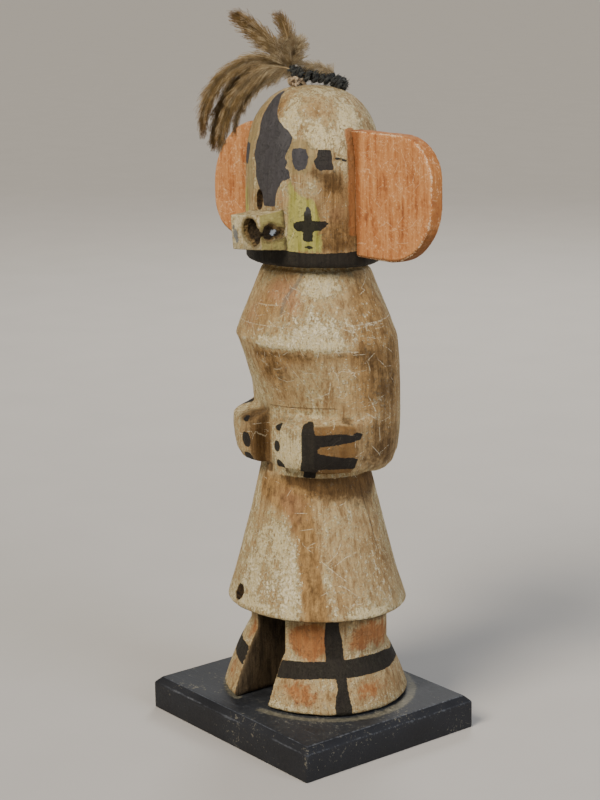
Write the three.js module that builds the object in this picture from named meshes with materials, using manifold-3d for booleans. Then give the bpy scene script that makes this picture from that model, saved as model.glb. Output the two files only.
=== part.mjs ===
// A carved wooden kachina doll with slab ears, a block snout and a feather tuft, on its black plinth.
// Millimetres, +Z up. The doll faces -Y. The origin is the middle of the plinth's underside.
import * as THREE from 'three';
import Module from 'manifold-3d';
import { mergeVertices } from 'three/addons/utils/BufferGeometryUtils.js';

// Plinth
const plinthWidth = 99.7;
const plinthDepth = 84.6;
const plinthHeight = 13.4;
const plinthChamfer = 2.5;

// The doll stands a little off the middle of its plinth.
const dollX = 1.2;
const dollY = 2.9;

// Heights of the doll, above the plinth's top
const fitGap = 0.3;
const dollHeight = 240;
const hemHeight = 37.8;
const waistHeight = 92;
const handTop = 113.8;
const ledgeTop = 116.4;
const creaseHeight = 145;
const shoulderHeight = 172;
const chinHeight = 174.1;
const domeStart = 209;

// Head: an upright oval with a domed crown; the face leans back a little
const headHalfWidth = 28.9;
const headHalfDepth = 24;
const faceLean = 0.045;
const sideTaper = 0.012;
const domeSquareness = 2.5;

// Damage: a chip out of the face above the snout, and a knot-hole in the skirt by the hem
const chipSize = { across: 1.8, into: 2.4, up: 3.6 };
const chipSpot = { x: -2.9, y: 0.6 - headHalfDepth, z: 198.6 };
const knotHoleSize = { across: 3.4, into: 2, up: 3.3 };
const knotHoleSpot = { x: -11.3, y: -29.8, z: 43 };

// Skirt: a cone between two ovals
const waistHalfWidth = 23.6;
const waistHalfDepth = 19.8;
const hemHalfWidth = 38.6;
const hemHalfDepth = 32.9;
const hemRound = 1;
const hemLean = 0.035;

// Legs: each is its side of an oval shaft that flares to the sole, with a gap between
const shaftHalfWidth = 30.2;
const shaftFront = 23.4;
const shaftBack = 25.8;
const soleRound = 1.4;
const leftLeg = { inside: 7.3, flareTop: 21.6, flareWidth: 7.4, flareFront: 9.2, flareBack: 9.4 };
const rightLeg = { inside: -10.2, flareTop: 27, flareWidth: 10.6, flareFront: 12.4, flareBack: 10 };

// Torso: shifted a little to the doll's left; its underside falls towards the back
const torsoShift = 1.1;
const undersideTilt = 0.1;
const undersideLean = 0.03;
const ledgeLean = 0.04;
const handFront = 26;
const bellyFront = 20;
const chestFront = 28.8;
const handGapHalf = 5.2;
const elbowHalfWidth = 35.3;
const torsoBack = 30.3;
const neckHalfWidth = 20.6;
const neckHalfDepth = 17;

// Ears: upright slabs, joined to the sides of the head
const earThickness = 6;
const earBevel = 1;
const leftEar = {
  reach: 70.2, middle: 0, foot: 178.2, top: 225, topCorner: [17, 15], footCorner: [23, 22],
};
const rightEar = {
  reach: 62, middle: 1.5, foot: 178.6, top: 224.6, topCorner: [28, 27], footCorner: [13, 14],
};

// Snout: a block joined to the front of the mask, deeper at its root and a little askew
const snoutWidth = 17.8;
const snoutFront = 34;
const snoutMiddle = 187.7;
const snoutHeight = 12.8;
const snoutRootHeight = 16;
const snoutShift = 2.4;
const snoutRoll = 5 * Math.PI / 180;

// What is broken out of the snout. at: across, behind its front, and up from its middle.
const snoutBreaks = [
  { at: [2.6, 0, 1], size: { across: 4.6, into: 4.4, up: 4.6 } },
  { at: [5.4, 0.4, -1.6], size: { across: 4, into: 3.6, up: 3.1 } },
  { at: [9, 4.6, -0.3], size: { across: 3.6, into: 3.8, up: 3.4 } },
  { at: [9.2, 8.4, -0.9], size: { across: 2.8, into: 4, up: 2.4 } },
];

// Feather tuft: quills gathered in a yarn wrapping that lies over the crown
const wrapRadius = 2.6;
const wrapRidge = 0.28;
const wrapTurns = 9;
const boreRadius = 2.05;
const quillRadius = 0.4;
const quillSpacing = 1.25;
const tuftHeading = Math.atan2(-0.66, -0.75);
const knotSize = { across: 2.9, into: 2.6, up: 2.2 };

const ringSides = 44;

const wasm = await Module();
wasm.setup();

const colours = {
  wood: 0xb9a98a,
  ear: 0xc07a4a,
  snout: 0xb5aa7c,
  feather: 0x8d7350,
  yarn: 0x2b2c2c,
  tie: 0xa88f76,
  plinth: 0x1c1d20,
};

function material(colour, roughness) {
  return new THREE.MeshStandardMaterial({ color: colour, roughness, metalness: 0 });
}

// Closes a stack of rings, each with the same number of points, into one solid.
function loft(rings) {
  const count = rings[0].length;
  const positions = [];
  const faces = [];
  for (const ring of rings) {
    for (const point of ring) positions.push(point.x, point.y, point.z);
  }
  for (let level = 0; level < rings.length - 1; level += 1) {
    for (let side = 0; side < count; side += 1) {
      const next = (side + 1) % count;
      const a = level * count + side;
      const b = level * count + next;
      faces.push(a, b, b + count, a, b + count, a + count);
    }
  }
  const capped = [[rings[0], 0, true], [rings[rings.length - 1], (rings.length - 1) * count, false]];
  for (const [ring, start, first] of capped) {
    const middle = ring.reduce((sum, point) => sum.add(point), new THREE.Vector3()).divideScalar(count);
    const centre = positions.length / 3;
    positions.push(middle.x, middle.y, middle.z);
    for (let side = 0; side < count; side += 1) {
      const next = (side + 1) % count;
      if (first) faces.push(centre, start + next, start + side);
      else faces.push(centre, start + side, start + next);
    }
  }
  const geometry = new THREE.BufferGeometry();
  geometry.setAttribute('position', new THREE.Float32BufferAttribute(positions, 3));
  geometry.setIndex(faces);
  return geometry;
}

// Turns a closed geometry into a solid that can be joined and cut.
function solid(geometry) {
  const bare = geometry.clone();
  bare.deleteAttribute('normal');
  bare.deleteAttribute('uv');
  const merged = mergeVertices(bare, 1e-4);
  const mesh = new wasm.Mesh({
    numProp: 3,
    vertProperties: new Float32Array(merged.attributes.position.array),
    triVerts: new Uint32Array(merged.index.array),
  });
  return new wasm.Manifold(mesh);
}

function geometryOf(manifold) {
  const mesh = manifold.getMesh();
  const geometry = new THREE.BufferGeometry();
  geometry.setAttribute('position', new THREE.BufferAttribute(new Float32Array(mesh.vertProperties), 3));
  geometry.setIndex(new THREE.BufferAttribute(new Uint32Array(mesh.triVerts), 1));
  return geometry;
}

function boxSolid(low, high) {
  const box = new THREE.BoxGeometry(high[0] - low[0], high[1] - low[1], high[2] - low[2]);
  box.translate((low[0] + high[0]) / 2, (low[1] + high[1]) / 2, (low[2] + high[2]) / 2);
  return solid(box);
}

// A level oval: squareness 2 is an ellipse, less leans to a diamond, more to a rectangle.
// tilt drops it towards the back, lean drops it towards the doll's right.
function oval({ height, halfWidth, front, back, squareness = 2, shift = 0, tilt = 0, lean = 0 }) {
  const ring = [];
  const power = 2 / squareness;
  for (let side = 0; side < ringSides; side += 1) {
    const angle = (side / ringSides) * 2 * Math.PI;
    const across = Math.cos(angle);
    const along = Math.sin(angle);
    const frontHalf = along < 0;
    const bend = frontHalf ? power : 1;
    const x = shift + halfWidth * Math.sign(across) * Math.abs(across) ** bend;
    const y = (frontHalf ? front : back) * Math.sign(along) * Math.abs(along) ** bend;
    ring.push(new THREE.Vector3(x, y, height - tilt * y + lean * x));
  }
  return ring;
}

// The head, or the same form made larger all round to cut a neighbour to its surface.
function headForm(grow = 0) {
  const rings = [];
  const steps = 14;
  const underRound = 1.2;
  const add = (height, share, inset) => {
    const climb = height - chinHeight;
    rings.push(oval({
      height,
      halfWidth: (headHalfWidth - sideTaper * climb) * share - inset + grow,
      front: (headHalfDepth - faceLean * Math.max(0, climb - 20)) * share - inset + grow,
      back: headHalfDepth * share - inset + grow,
    }));
  };
  add(chinHeight - grow, 1, underRound);
  add(chinHeight - grow + underRound, 1, 0);
  add(chinHeight + 20, 1, 0);
  const rise = dollHeight - domeStart;
  for (let step = 0; step < steps; step += 1) {
    const climb = Math.sin((step / steps) * Math.PI / 2);
    const share = (1 - climb ** domeSquareness) ** (1 / domeSquareness);
    add(domeStart + climb * (rise + grow), share, 0);
  }
  add(dollHeight + grow - 0.05, 0.12, 0);
  return solid(loft(rings));
}

// Torso with the arms in relief: shoulders, a chest crease, a hollowed belly, and forearms as a ledge.
function torsoForm() {
  const at = (height, halfWidth, front, back, squareness, tilt = 0, lean = 0) =>
    oval({ height, halfWidth, front, back, squareness, shift: torsoShift, tilt, lean });
  const bellySquareness = 1.6;
  const handSquareness = 2.8;
  return solid(loft([
    at(94, 26.5, 22.4, 21.4, handSquareness, undersideTilt, undersideLean),
    at(94.5, 29.6, 24.8, 24.4, handSquareness, undersideTilt, undersideLean),
    at(97.4, 32.4, handFront, 27.4, handSquareness, undersideTilt, undersideLean),
    at(102.5, 34.2, handFront + 0.2, 29.2, handSquareness, undersideTilt / 2),
    at(108, 35, handFront + 0.2, 30, handSquareness),
    at(handTop - 0.8, elbowHalfWidth, handFront, torsoBack, handSquareness, 0, ledgeLean),
    at(handTop, elbowHalfWidth, handFront - 0.9, torsoBack, 2.7, 0, ledgeLean),
    at(ledgeTop - 0.4, elbowHalfWidth, bellyFront + 0.4, torsoBack, 1.7, 0, ledgeLean),
    at(ledgeTop + 0.2, elbowHalfWidth, bellyFront, torsoBack, bellySquareness, 0, ledgeLean),
    at(125, elbowHalfWidth - 0.1, bellyFront + 2.3, torsoBack, bellySquareness),
    at(135.5, 34.9, bellyFront + 5.6, 30, 1.75),
    at(creaseHeight - 1.2, 34.4, chestFront - 0.4, 29.1, 1.95),
    at(creaseHeight, 34.3, chestFront + 0.2, 28.9, 2),
    at(creaseHeight + 2, 33.7, chestFront - 0.3, 28.4, 2),
    at(153, 31.4, 26.3, 26.5, 2),
    at(162, 27.2, 22.9, 22.9, 2),
    at(170.6, 23.5, 19.6, 19.5, 2),
    at(shoulderHeight, 22, 18.2, 18.2, 2),
  ]));
}

function neckForm() {
  const size = { halfWidth: neckHalfWidth, front: neckHalfDepth, back: neckHalfDepth };
  const low = oval({ ...size, height: shoulderHeight - 3 });
  const high = oval({ ...size, height: chinHeight + 3 });
  return solid(loft([low, high]));
}

function skirtForm() {
  const rings = [];
  const at = (share, height, inset = 0) => rings.push(oval({
    height,
    lean: hemLean * share,
    halfWidth: waistHalfWidth + (hemHalfWidth - waistHalfWidth) * share - inset,
    front: waistHalfDepth + (hemHalfDepth - waistHalfDepth) * share - inset,
    back: waistHalfDepth + (hemHalfDepth - waistHalfDepth) * share - inset,
    squareness: 2.1,
  }));
  at(1, hemHeight, hemRound);
  at(1, hemHeight + hemRound);
  const steps = 5;
  for (let step = 1; step <= steps; step += 1) {
    const share = 1 - step / steps;
    const hollow = 0.6 * Math.sin(share * Math.PI);
    at(share, hemHeight + hemRound + (waistHeight - hemHeight - hemRound) * (1 - share), hollow);
  }
  at(-0.05, waistHeight + 6);
  return solid(loft(rings));
}

// One leg, cut from its own full oval; the flare eases out towards the sole.
function legForm({ inside, flareTop, flareWidth, flareFront, flareBack }) {
  const rings = [];
  const at = (height, flare, inset = 0) => rings.push(oval({
    height,
    halfWidth: shaftHalfWidth + flareWidth * flare - inset,
    front: shaftFront + flareFront * flare - inset,
    back: shaftBack + flareBack * flare - inset,
    squareness: 2.1,
  }));
  at(fitGap, 0.97, soleRound);
  const steps = 6;
  for (let step = 0; step <= steps; step += 1) {
    const height = soleRound + fitGap + (flareTop - soleRound - fitGap) * (step / steps);
    const drop = 1 - height / flareTop;
    at(height, drop * (1.3 - 0.3 * drop));
  }
  at(hemHeight + 4, 0);
  const side = Math.sign(inside);
  const keep = boxSolid(
    [side > 0 ? inside : -60, -60, -5],
    [side > 0 ? 60 : inside, 60, hemHeight + 10],
  );
  return solid(loft(rings)).intersect(keep);
}

// A faceted lump, for what is broken out or tied on.
function lump({ across, into, up }, spot) {
  const ball = new THREE.IcosahedronGeometry(1, 1).scale(across, into, up);
  return solid(ball.translate(spot.x, spot.y, spot.z));
}

function carvedFigure() {
  const handGap = boxSolid(
    [-handGapHalf, -60, waistHeight - 6],
    [handGapHalf, -bellyFront, ledgeTop + 2],
  );
  const chip = lump(chipSize, chipSpot);
  const knotHole = lump(knotHoleSize, knotHoleSpot);
  return legForm(leftLeg)
    .add(legForm(rightLeg))
    .add(skirtForm())
    .add(torsoForm().subtract(handGap))
    .add(neckForm())
    .add(headForm())
    .subtract(chip)
    .subtract(knotHole);
}

// An ear lies in the plane through both sides of the head. side is 1 for the doll's left, -1 for its right.
function earForm(ear, side) {
  const reach = ear.reach - earBevel;
  const foot = ear.foot + earBevel;
  const top = ear.top - earBevel;
  const [topAcross, topDown] = ear.topCorner;
  const [footAcross, footUp] = ear.footCorner;
  const outline = new THREE.Shape();
  outline.moveTo(12, foot);
  outline.lineTo(reach - footAcross, foot);
  outline.absellipse(reach - footAcross, foot + footUp, footAcross, footUp, -Math.PI / 2, 0, false);
  outline.lineTo(reach, top - topDown);
  outline.absellipse(reach - topAcross, top - topDown, topAcross, topDown, 0, Math.PI / 2, false);
  outline.lineTo(12, top);
  outline.closePath();
  const slab = new THREE.ExtrudeGeometry(outline, {
    depth: earThickness - 2 * earBevel,
    bevelThickness: earBevel,
    bevelSize: earBevel,
    bevelSegments: 2,
    curveSegments: 10,
  });
  slab.rotateX(Math.PI / 2);
  slab.translate(0, ear.middle + earThickness / 2 - earBevel, 0);
  if (side < 0) slab.rotateZ(Math.PI).translate(0, 2 * ear.middle, 0);
  return solid(slab).subtract(headForm(fitGap));
}

// The snout's block, cut to the mask behind, with its front left corner broken out in hollows.
function snoutForm() {
  const place = geometry => solid(geometry.rotateY(-snoutRoll).translate(snoutShift, 0, snoutMiddle));
  const across = snoutWidth / 2;
  const face = (y, height) => [[-1, -1], [1, -1], [1, 1], [-1, 1]].map(([x, z]) =>
    new THREE.Vector3(x * across, y, z * height / 2));
  const root = -snoutFront / 2;
  const block = loft([face(root, snoutRootHeight), face(-snoutFront, snoutHeight)]);
  return snoutBreaks.reduce((left, { at: [aside, behind, up], size }) => {
    const gap = new THREE.IcosahedronGeometry(1, 1).scale(size.across, size.into, size.up);
    return left.subtract(place(gap.rotateY(aside).translate(aside, behind - snoutFront, up)));
  }, place(block).subtract(headForm(fitGap)));
}

// The tuft lies in an upright plane: run goes along tuftHeading over the crown, aside is square to it.
function tuftPoint(run, height, aside = 0) {
  const along = new THREE.Vector3(Math.cos(tuftHeading), Math.sin(tuftHeading), 0);
  const across = new THREE.Vector3(-along.y, along.x, 0);
  return along.multiplyScalar(run).addScaledVector(across, aside).setZ(height);
}

const wrapPath = new THREE.CatmullRomCurve3([
  tuftPoint(-13.2, 239.4),
  tuftPoint(-6.5, 242.3),
  tuftPoint(0.5, 243.5),
  tuftPoint(8.8, 246.2),
]);

// Rings square to a path. size(share) is half the width and thickness; sideways gives the width's way.
function sweep(path, steps, corners, size, sideways) {
  const rings = [];
  for (let step = 0; step <= steps; step += 1) {
    const share = step / steps;
    const centre = path.getPointAt(share);
    const forward = path.getTangentAt(share);
    const wide = sideways(forward).clone();
    const across = wide.addScaledVector(forward, -wide.dot(forward)).normalize();
    const up = forward.clone().cross(across);
    const [halfWidth, halfThickness] = size(share);
    const ring = [];
    for (let corner = 0; corner < corners; corner += 1) {
      const angle = (corner / corners) * 2 * Math.PI;
      ring.push(centre.clone()
        .addScaledVector(across, Math.cos(angle) * halfWidth)
        .addScaledVector(up, Math.sin(angle) * halfThickness));
    }
    rings.push(ring);
  }
  return loft(rings);
}

const tuftAcross = tuftPoint(0, 0, 1);

// The wrapping's outer form; turns of yarn show as ridges.
function wrapForm(grow = 0) {
  const ridged = share => {
    const ends = Math.min(1, 0.62 + 5 * Math.min(share, 1 - share));
    const radius = (wrapRadius + wrapRidge * Math.cos(share * wrapTurns * 2 * Math.PI)) * ends + grow;
    return [radius, radius];
  };
  return solid(sweep(wrapPath, wrapTurns * 3, 10, ridged, () => tuftAcross));
}

function yarnWrap() {
  const mouth = wrapPath.getPointAt(1);
  const beyond = mouth.clone().addScaledVector(wrapPath.getTangentAt(1), 3);
  const borePath = new THREE.CatmullRomCurve3([
    wrapPath.getPointAt(0.5), wrapPath.getPointAt(0.68), wrapPath.getPointAt(0.85), mouth, beyond,
  ]);
  const bore = solid(sweep(borePath, 6, 10, () => [boreRadius, boreRadius], () => tuftAcross));
  return wrapForm().subtract(bore).subtract(headForm(fitGap));
}

// A small knot of thong fills the space between the crown and the mouth of the wrapping.
function tieKnot() {
  return lump(knotSize, tuftPoint(5.6, 241.3))
    .subtract(headForm(fitGap))
    .subtract(wrapForm(fitGap));
}

// Feathers. seat: sideways and upward place in the bundle. bend: reach and rise of the curve's two
// handles and tip. fan: degrees that it splays sideways. width: half its vane.
const feathers = [
  { seat: [0, 0], bend: [[11, 8], [31, 1], [33, -21]], width: 3.3, fan: 0 },
  { seat: [-1, 0], bend: [[10, 5], [27, -3], [30.5, -28]], width: 3.6, fan: -8 },
  { seat: [1, 0], bend: [[9, 2], [22, -5], [25.5, -28]], width: 3.1, fan: 8 },
  { seat: [-0.5, -0.87], bend: [[7, 0.5], [14, -1.5], [19, -9.5]], width: 2.8, fan: -3 },
  { seat: [0.5, -0.87], bend: [[8, -2], [17, -7], [20, -20.5]], width: 1.4, fan: 3 },
  { seat: [0.5, 0.87], bend: [[4, 6], [10, 12], [18, 19]], width: 3.8, fan: 4 },
  { seat: [-0.5, 0.87], bend: [[-1, 6], [0, 12], [3, 18.3]], width: 3, fan: -4 },
];

// A vane opens from the bare quill, keeps its width, and closes to the tip.
function vaneOpening(run) {
  const opening = THREE.MathUtils.smoothstep(run, 0.1, 0.5);
  const closing = 1 - THREE.MathUtils.smoothstep(run, 0.8, 1.02);
  return opening * (0.2 + 0.8 * closing);
}

function featherForm({ seat, bend, width, fan }) {
  const forward = wrapPath.getTangentAt(1);
  const upward = tuftAcross.clone().cross(forward);
  if (upward.z < 0) upward.negate();
  const seated = share => wrapPath.getPointAt(share)
    .addScaledVector(tuftAcross, seat[0] * quillSpacing)
    .addScaledVector(upward, seat[1] * quillSpacing);
  const mouth = seated(1).addScaledVector(forward, 0.5);
  const turn = fan * Math.PI / 180;
  const handles = bend.map(([reach, rise]) => mouth.clone()
    .add(tuftPoint(reach * Math.cos(turn), rise, reach * Math.sin(turn))));
  const quill = new THREE.LineCurve3(seated(0.62), mouth);
  const vane = new THREE.CubicBezierCurve3(mouth, ...handles);
  const path = new THREE.CurvePath();
  path.add(quill);
  path.add(vane);
  const quillShare = quill.getLength() / (quill.getLength() + vane.getLength());
  const size = share => {
    const open = vaneOpening((share - quillShare) / (1 - quillShare));
    return [quillRadius + (width - quillRadius) * open, quillRadius - 0.1 * open];
  };
  const across = tuftPoint(-Math.sin(turn), 0, Math.cos(turn));
  return solid(sweep(path, 14, 6, size, way => across.clone().cross(way)));
}

function plinthForm() {
  const corners = (height, inset) => [[-1, -1], [1, -1], [1, 1], [-1, 1]].map(([x, y]) => new THREE.Vector3(
    x * (plinthWidth / 2 - inset),
    y * (plinthDepth / 2 - inset),
    height,
  ));
  return solid(loft([
    corners(0, 0),
    corners(plinthHeight - plinthChamfer, 0),
    corners(plinthHeight, plinthChamfer),
  ]));
}

function piece(name, form, finish) {
  const mesh = new THREE.Mesh(geometryOf(form), finish);
  mesh.name = name;
  return mesh;
}

const earFinish = material(colours.ear, 0.8);
const featherFinish = material(colours.feather, 0.9);

const doll = new THREE.Group();
doll.position.set(dollX, dollY, plinthHeight);
doll.add(
  piece('carved_figure', carvedFigure(), material(colours.wood, 0.85)),
  piece('left_ear', earForm(leftEar, 1), earFinish),
  piece('right_ear', earForm(rightEar, -1), earFinish),
  piece('snout', snoutForm(), material(colours.snout, 0.85)),
  piece('yarn_wrap', yarnWrap(), material(colours.yarn, 0.95)),
  piece('tie_knot', tieKnot(), material(colours.tie, 0.9)),
);
feathers.forEach((feather, index) => {
  doll.add(piece(`feather_${index + 1}`, featherForm(feather), featherFinish));
});

const part = new THREE.Group();
part.add(piece('plinth', plinthForm(), material(colours.plinth, 0.4)));
part.add(doll);

export default part;
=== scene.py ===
# An old carved and painted kachina doll on its black plinth.
# Metres, +Z up. The doll faces -Y and its own left side is +X.
import functools
import math

import bmesh
import bpy
import numpy as np
from mathutils import Matrix, Vector


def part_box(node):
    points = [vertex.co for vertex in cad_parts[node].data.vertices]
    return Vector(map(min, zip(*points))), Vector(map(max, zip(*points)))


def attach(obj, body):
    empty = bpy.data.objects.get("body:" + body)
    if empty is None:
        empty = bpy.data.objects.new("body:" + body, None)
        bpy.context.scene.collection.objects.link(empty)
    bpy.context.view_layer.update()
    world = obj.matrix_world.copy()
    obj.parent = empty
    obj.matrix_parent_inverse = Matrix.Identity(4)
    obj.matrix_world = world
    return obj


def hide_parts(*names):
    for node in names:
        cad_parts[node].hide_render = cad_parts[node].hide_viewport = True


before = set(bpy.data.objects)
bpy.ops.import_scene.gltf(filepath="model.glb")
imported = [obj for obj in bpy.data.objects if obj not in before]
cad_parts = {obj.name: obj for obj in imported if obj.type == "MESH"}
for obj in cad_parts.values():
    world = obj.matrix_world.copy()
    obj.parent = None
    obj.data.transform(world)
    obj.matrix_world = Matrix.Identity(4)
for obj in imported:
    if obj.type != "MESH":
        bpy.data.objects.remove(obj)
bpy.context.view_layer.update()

mm = 0.001
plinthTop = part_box("plinth")[1].z
dollAxis = Vector((0.0012, 0.0029, 0))  # the doll stands a little off the plinth's middle
unwrapRadius = {"head": 27, "arms": 30, "body": 30, "legs": 34}  # mm, turns an angle into a width
zoneSpans = {"head": (187, 300), "torso": (105.6, 187), "skirt": (51, 105.6), "legs": (0, 51)}
unset = -9.0  # mm, far outside every painted patch
print("frame loaded, plinth top at", round(plinthTop / mm, 2), "mm")


# Helpers shared by every piece.

def linear(hexText):
    channels = [int(hexText[i:i + 2], 16) / 255 for i in (1, 3, 5)]
    return tuple(c / 12.92 if c <= 0.04045 else ((c + 0.055) / 1.055) ** 2.4 for c in channels) + (1.0,)


# Adds one node with its settings and links. inputs go by name, or in order as a list; each is a value,
# an sRGB hex, a socket, or a node whose first output is meant.
def addNode(tree, kind, inputs=(), **settings):
    node = tree.nodes.new(kind)
    node.location = (len(tree.nodes) % 12 * 190, len(tree.nodes) // 12 * -260)
    for name, value in settings.items():
        setattr(node, name, value)
    sockets = [socket for socket in node.inputs if socket.enabled]
    if isinstance(inputs, dict):
        named = {socket.name: socket for socket in sockets}
        pairs = [(named[name], value) for name, value in inputs.items()]
    else:
        pairs = zip(sockets, inputs)
    for socket, value in pairs:
        if isinstance(value, bpy.types.Node):
            value = next(output for output in value.outputs if output.enabled)
        if isinstance(value, bpy.types.NodeSocket):
            tree.links.new(value, socket)
        elif isinstance(value, str) and value.startswith("#"):
            socket.default_value = linear(value)
        elif value is not None:
            socket.default_value = value
    return node


# Smooth seeded noise from -1 to 1 at each point; size is the width of its swells.
def swells(points, size, seed):
    table = np.random.default_rng(seed).uniform(-1, 1, (32, 32, 32))
    place = points / size
    cell = np.floor(place).astype(int)
    part = place - cell
    part = part * part * (3 - 2 * part)
    total = np.zeros(len(points))
    for dx in (0, 1):
        for dy in (0, 1):
            for dz in (0, 1):
                weight = (np.abs(1 - dx - part[:, 0]) * np.abs(1 - dy - part[:, 1])
                          * np.abs(1 - dz - part[:, 2]))
                total += weight * table[(cell[:, 0] + dx) % 32, (cell[:, 1] + dy) % 32, (cell[:, 2] + dz) % 32]
    return total


# A mesh's points and their normals.
def meshShape(mesh):
    found = []
    for kind in ("co", "normal"):
        flat = np.empty(len(mesh.vertices) * 3, np.float32)
        mesh.vertices.foreach_get(kind, flat)
        found.append(flat.reshape(-1, 3).astype(float))
    return found


def setPoints(mesh, points):
    mesh.vertices.foreach_set("co", points.astype(np.float32).ravel())
    mesh.update()


# Stores named fields, one value at each point, for the materials to read.
def storeFields(mesh, fields):
    for name, values in fields.items():
        layer = mesh.attributes.new(name, "FLOAT", "POINT")
        layer.data.foreach_set("value", np.asarray(values, np.float32))


def newObject(name, data):
    piece = bpy.data.objects.new(name, data)
    bpy.context.scene.collection.objects.link(piece)
    return piece


# Turns an object with live modifiers into a plain mesh object of the same name.
def settle(piece):
    bpy.context.view_layer.update()
    mesh = bpy.data.meshes.new_from_object(piece.evaluated_get(bpy.context.evaluated_depsgraph_get()))
    name = piece.name
    bpy.data.objects.remove(piece)
    mesh.name = name
    return newObject(name, mesh)


# A merged copy of a CAD node's mesh, with nothing but its shape.
def mergedCopy(name, node):
    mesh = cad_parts[node].data.copy()
    mesh.materials.clear()
    work = bmesh.new()
    work.from_mesh(mesh)
    bmesh.ops.remove_doubles(work, verts=work.verts, dist=1e-6)
    work.to_mesh(mesh)
    work.free()
    for layer in list(mesh.attributes):
        if layer.name.startswith("UV") or layer.name in ("custom_normal", "sharp_face", "sharp_edge"):
            mesh.attributes.remove(layer)
    return newObject(name, mesh)


# A close, even mesh laid on a CAD node's form, with its arrises eased as handling eases them.
def evenMesh(name, node, voxel, easing):
    form = mergedCopy(name + "Form", node)
    piece = mergedCopy(name, node)
    remesh = piece.modifiers.new("even", "REMESH")
    remesh.mode = "VOXEL"
    remesh.voxel_size = voxel * mm
    onForm = piece.modifiers.new("onForm", "SHRINKWRAP")
    onForm.target = form
    smooth = piece.modifiers.new("ease", "SMOOTH")
    smooth.factor = 0.5
    smooth.iterations = easing
    piece = settle(piece)
    bpy.data.objects.remove(form)
    piece.data.shade_smooth()
    return piece


def finishPiece(piece, material, nodes):
    piece.data.materials.clear()
    piece.data.materials.append(material)
    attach(piece, "root")
    if nodes:
        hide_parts(*nodes)
    print(piece.name, "done,", len(piece.data.polygons), "faces")


# Angle round the doll from its front towards its left, in degrees, and height, in mm.
def wrapCoordinates(points):
    x = (points[:, 0] - dollAxis.x) / mm
    y = (points[:, 1] - dollAxis.y) / mm
    return np.degrees(np.arctan2(x, -y)), points[:, 2] / mm, x, y


# Signed distance in mm to a closed outline of (angle, height) points, above zero inside it.
def insideOutline(angle, height, outline, radius, mirrored=False):
    side = -1 if mirrored else 1
    spots = np.array([(math.radians(side * a) * radius, h) for a, h in outline])
    p = np.stack([np.radians(angle) * radius, height], 1)
    nearest = np.full(len(p), 1e9)
    inside = np.zeros(len(p), bool)
    for start, end in zip(spots, np.roll(spots, -1, 0)):
        edge = end - start
        share = np.clip(((p - start) @ edge) / (edge @ edge), 0, 1)
        gap = p - start - share[:, None] * edge
        nearest = np.minimum(nearest, np.hypot(gap[:, 0], gap[:, 1]))
        crosses = (start[1] > p[:, 1]) != (end[1] > p[:, 1])
        with np.errstate(divide="ignore", invalid="ignore"):
            meet = start[0] + (p[:, 1] - start[1]) / (end[1] - start[1]) * edge[0]
        inside ^= crosses & (p[:, 0] < meet)
    return np.where(inside, nearest, -nearest)


# Signed distance in mm across the nearest of some scored lines, and its nearness from 0 to 1.
def acrossLines(p, lines):
    nearest = np.full(len(p), 9.0)
    signed = np.full(len(p), 9.0)
    for line in lines:
        for start, end in zip(line, line[1:]):
            edge = np.subtract(end, start)
            share = np.clip(((p - start) @ edge) / (edge @ edge), 0, 1)
            gap = p - start - share[:, None] * edge
            reach = np.hypot(gap[:, 0], gap[:, 1])
            side = np.where(edge[0] * gap[:, 1] - edge[1] * gap[:, 0] < 0, -1, 1)
            signed = np.where(reach < nearest, reach * side, signed)
            nearest = np.minimum(nearest, reach)
    return signed, np.clip(1.8 - nearest, 0, 1)


# Soft washes: each is (angle, height, half width in mm, half height in mm, strength).
def washes(angle, height, spots, radius=unwrapRadius["body"]):
    total = np.zeros(len(angle))
    for centre, level, halfWidth, halfHeight, strength in spots:
        turn = (angle - centre + 180) % 360 - 180
        total += strength * np.exp(-(np.radians(turn) * radius / halfWidth) ** 2
                                   - ((height - level) / halfHeight) ** 2)
    return total


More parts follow.
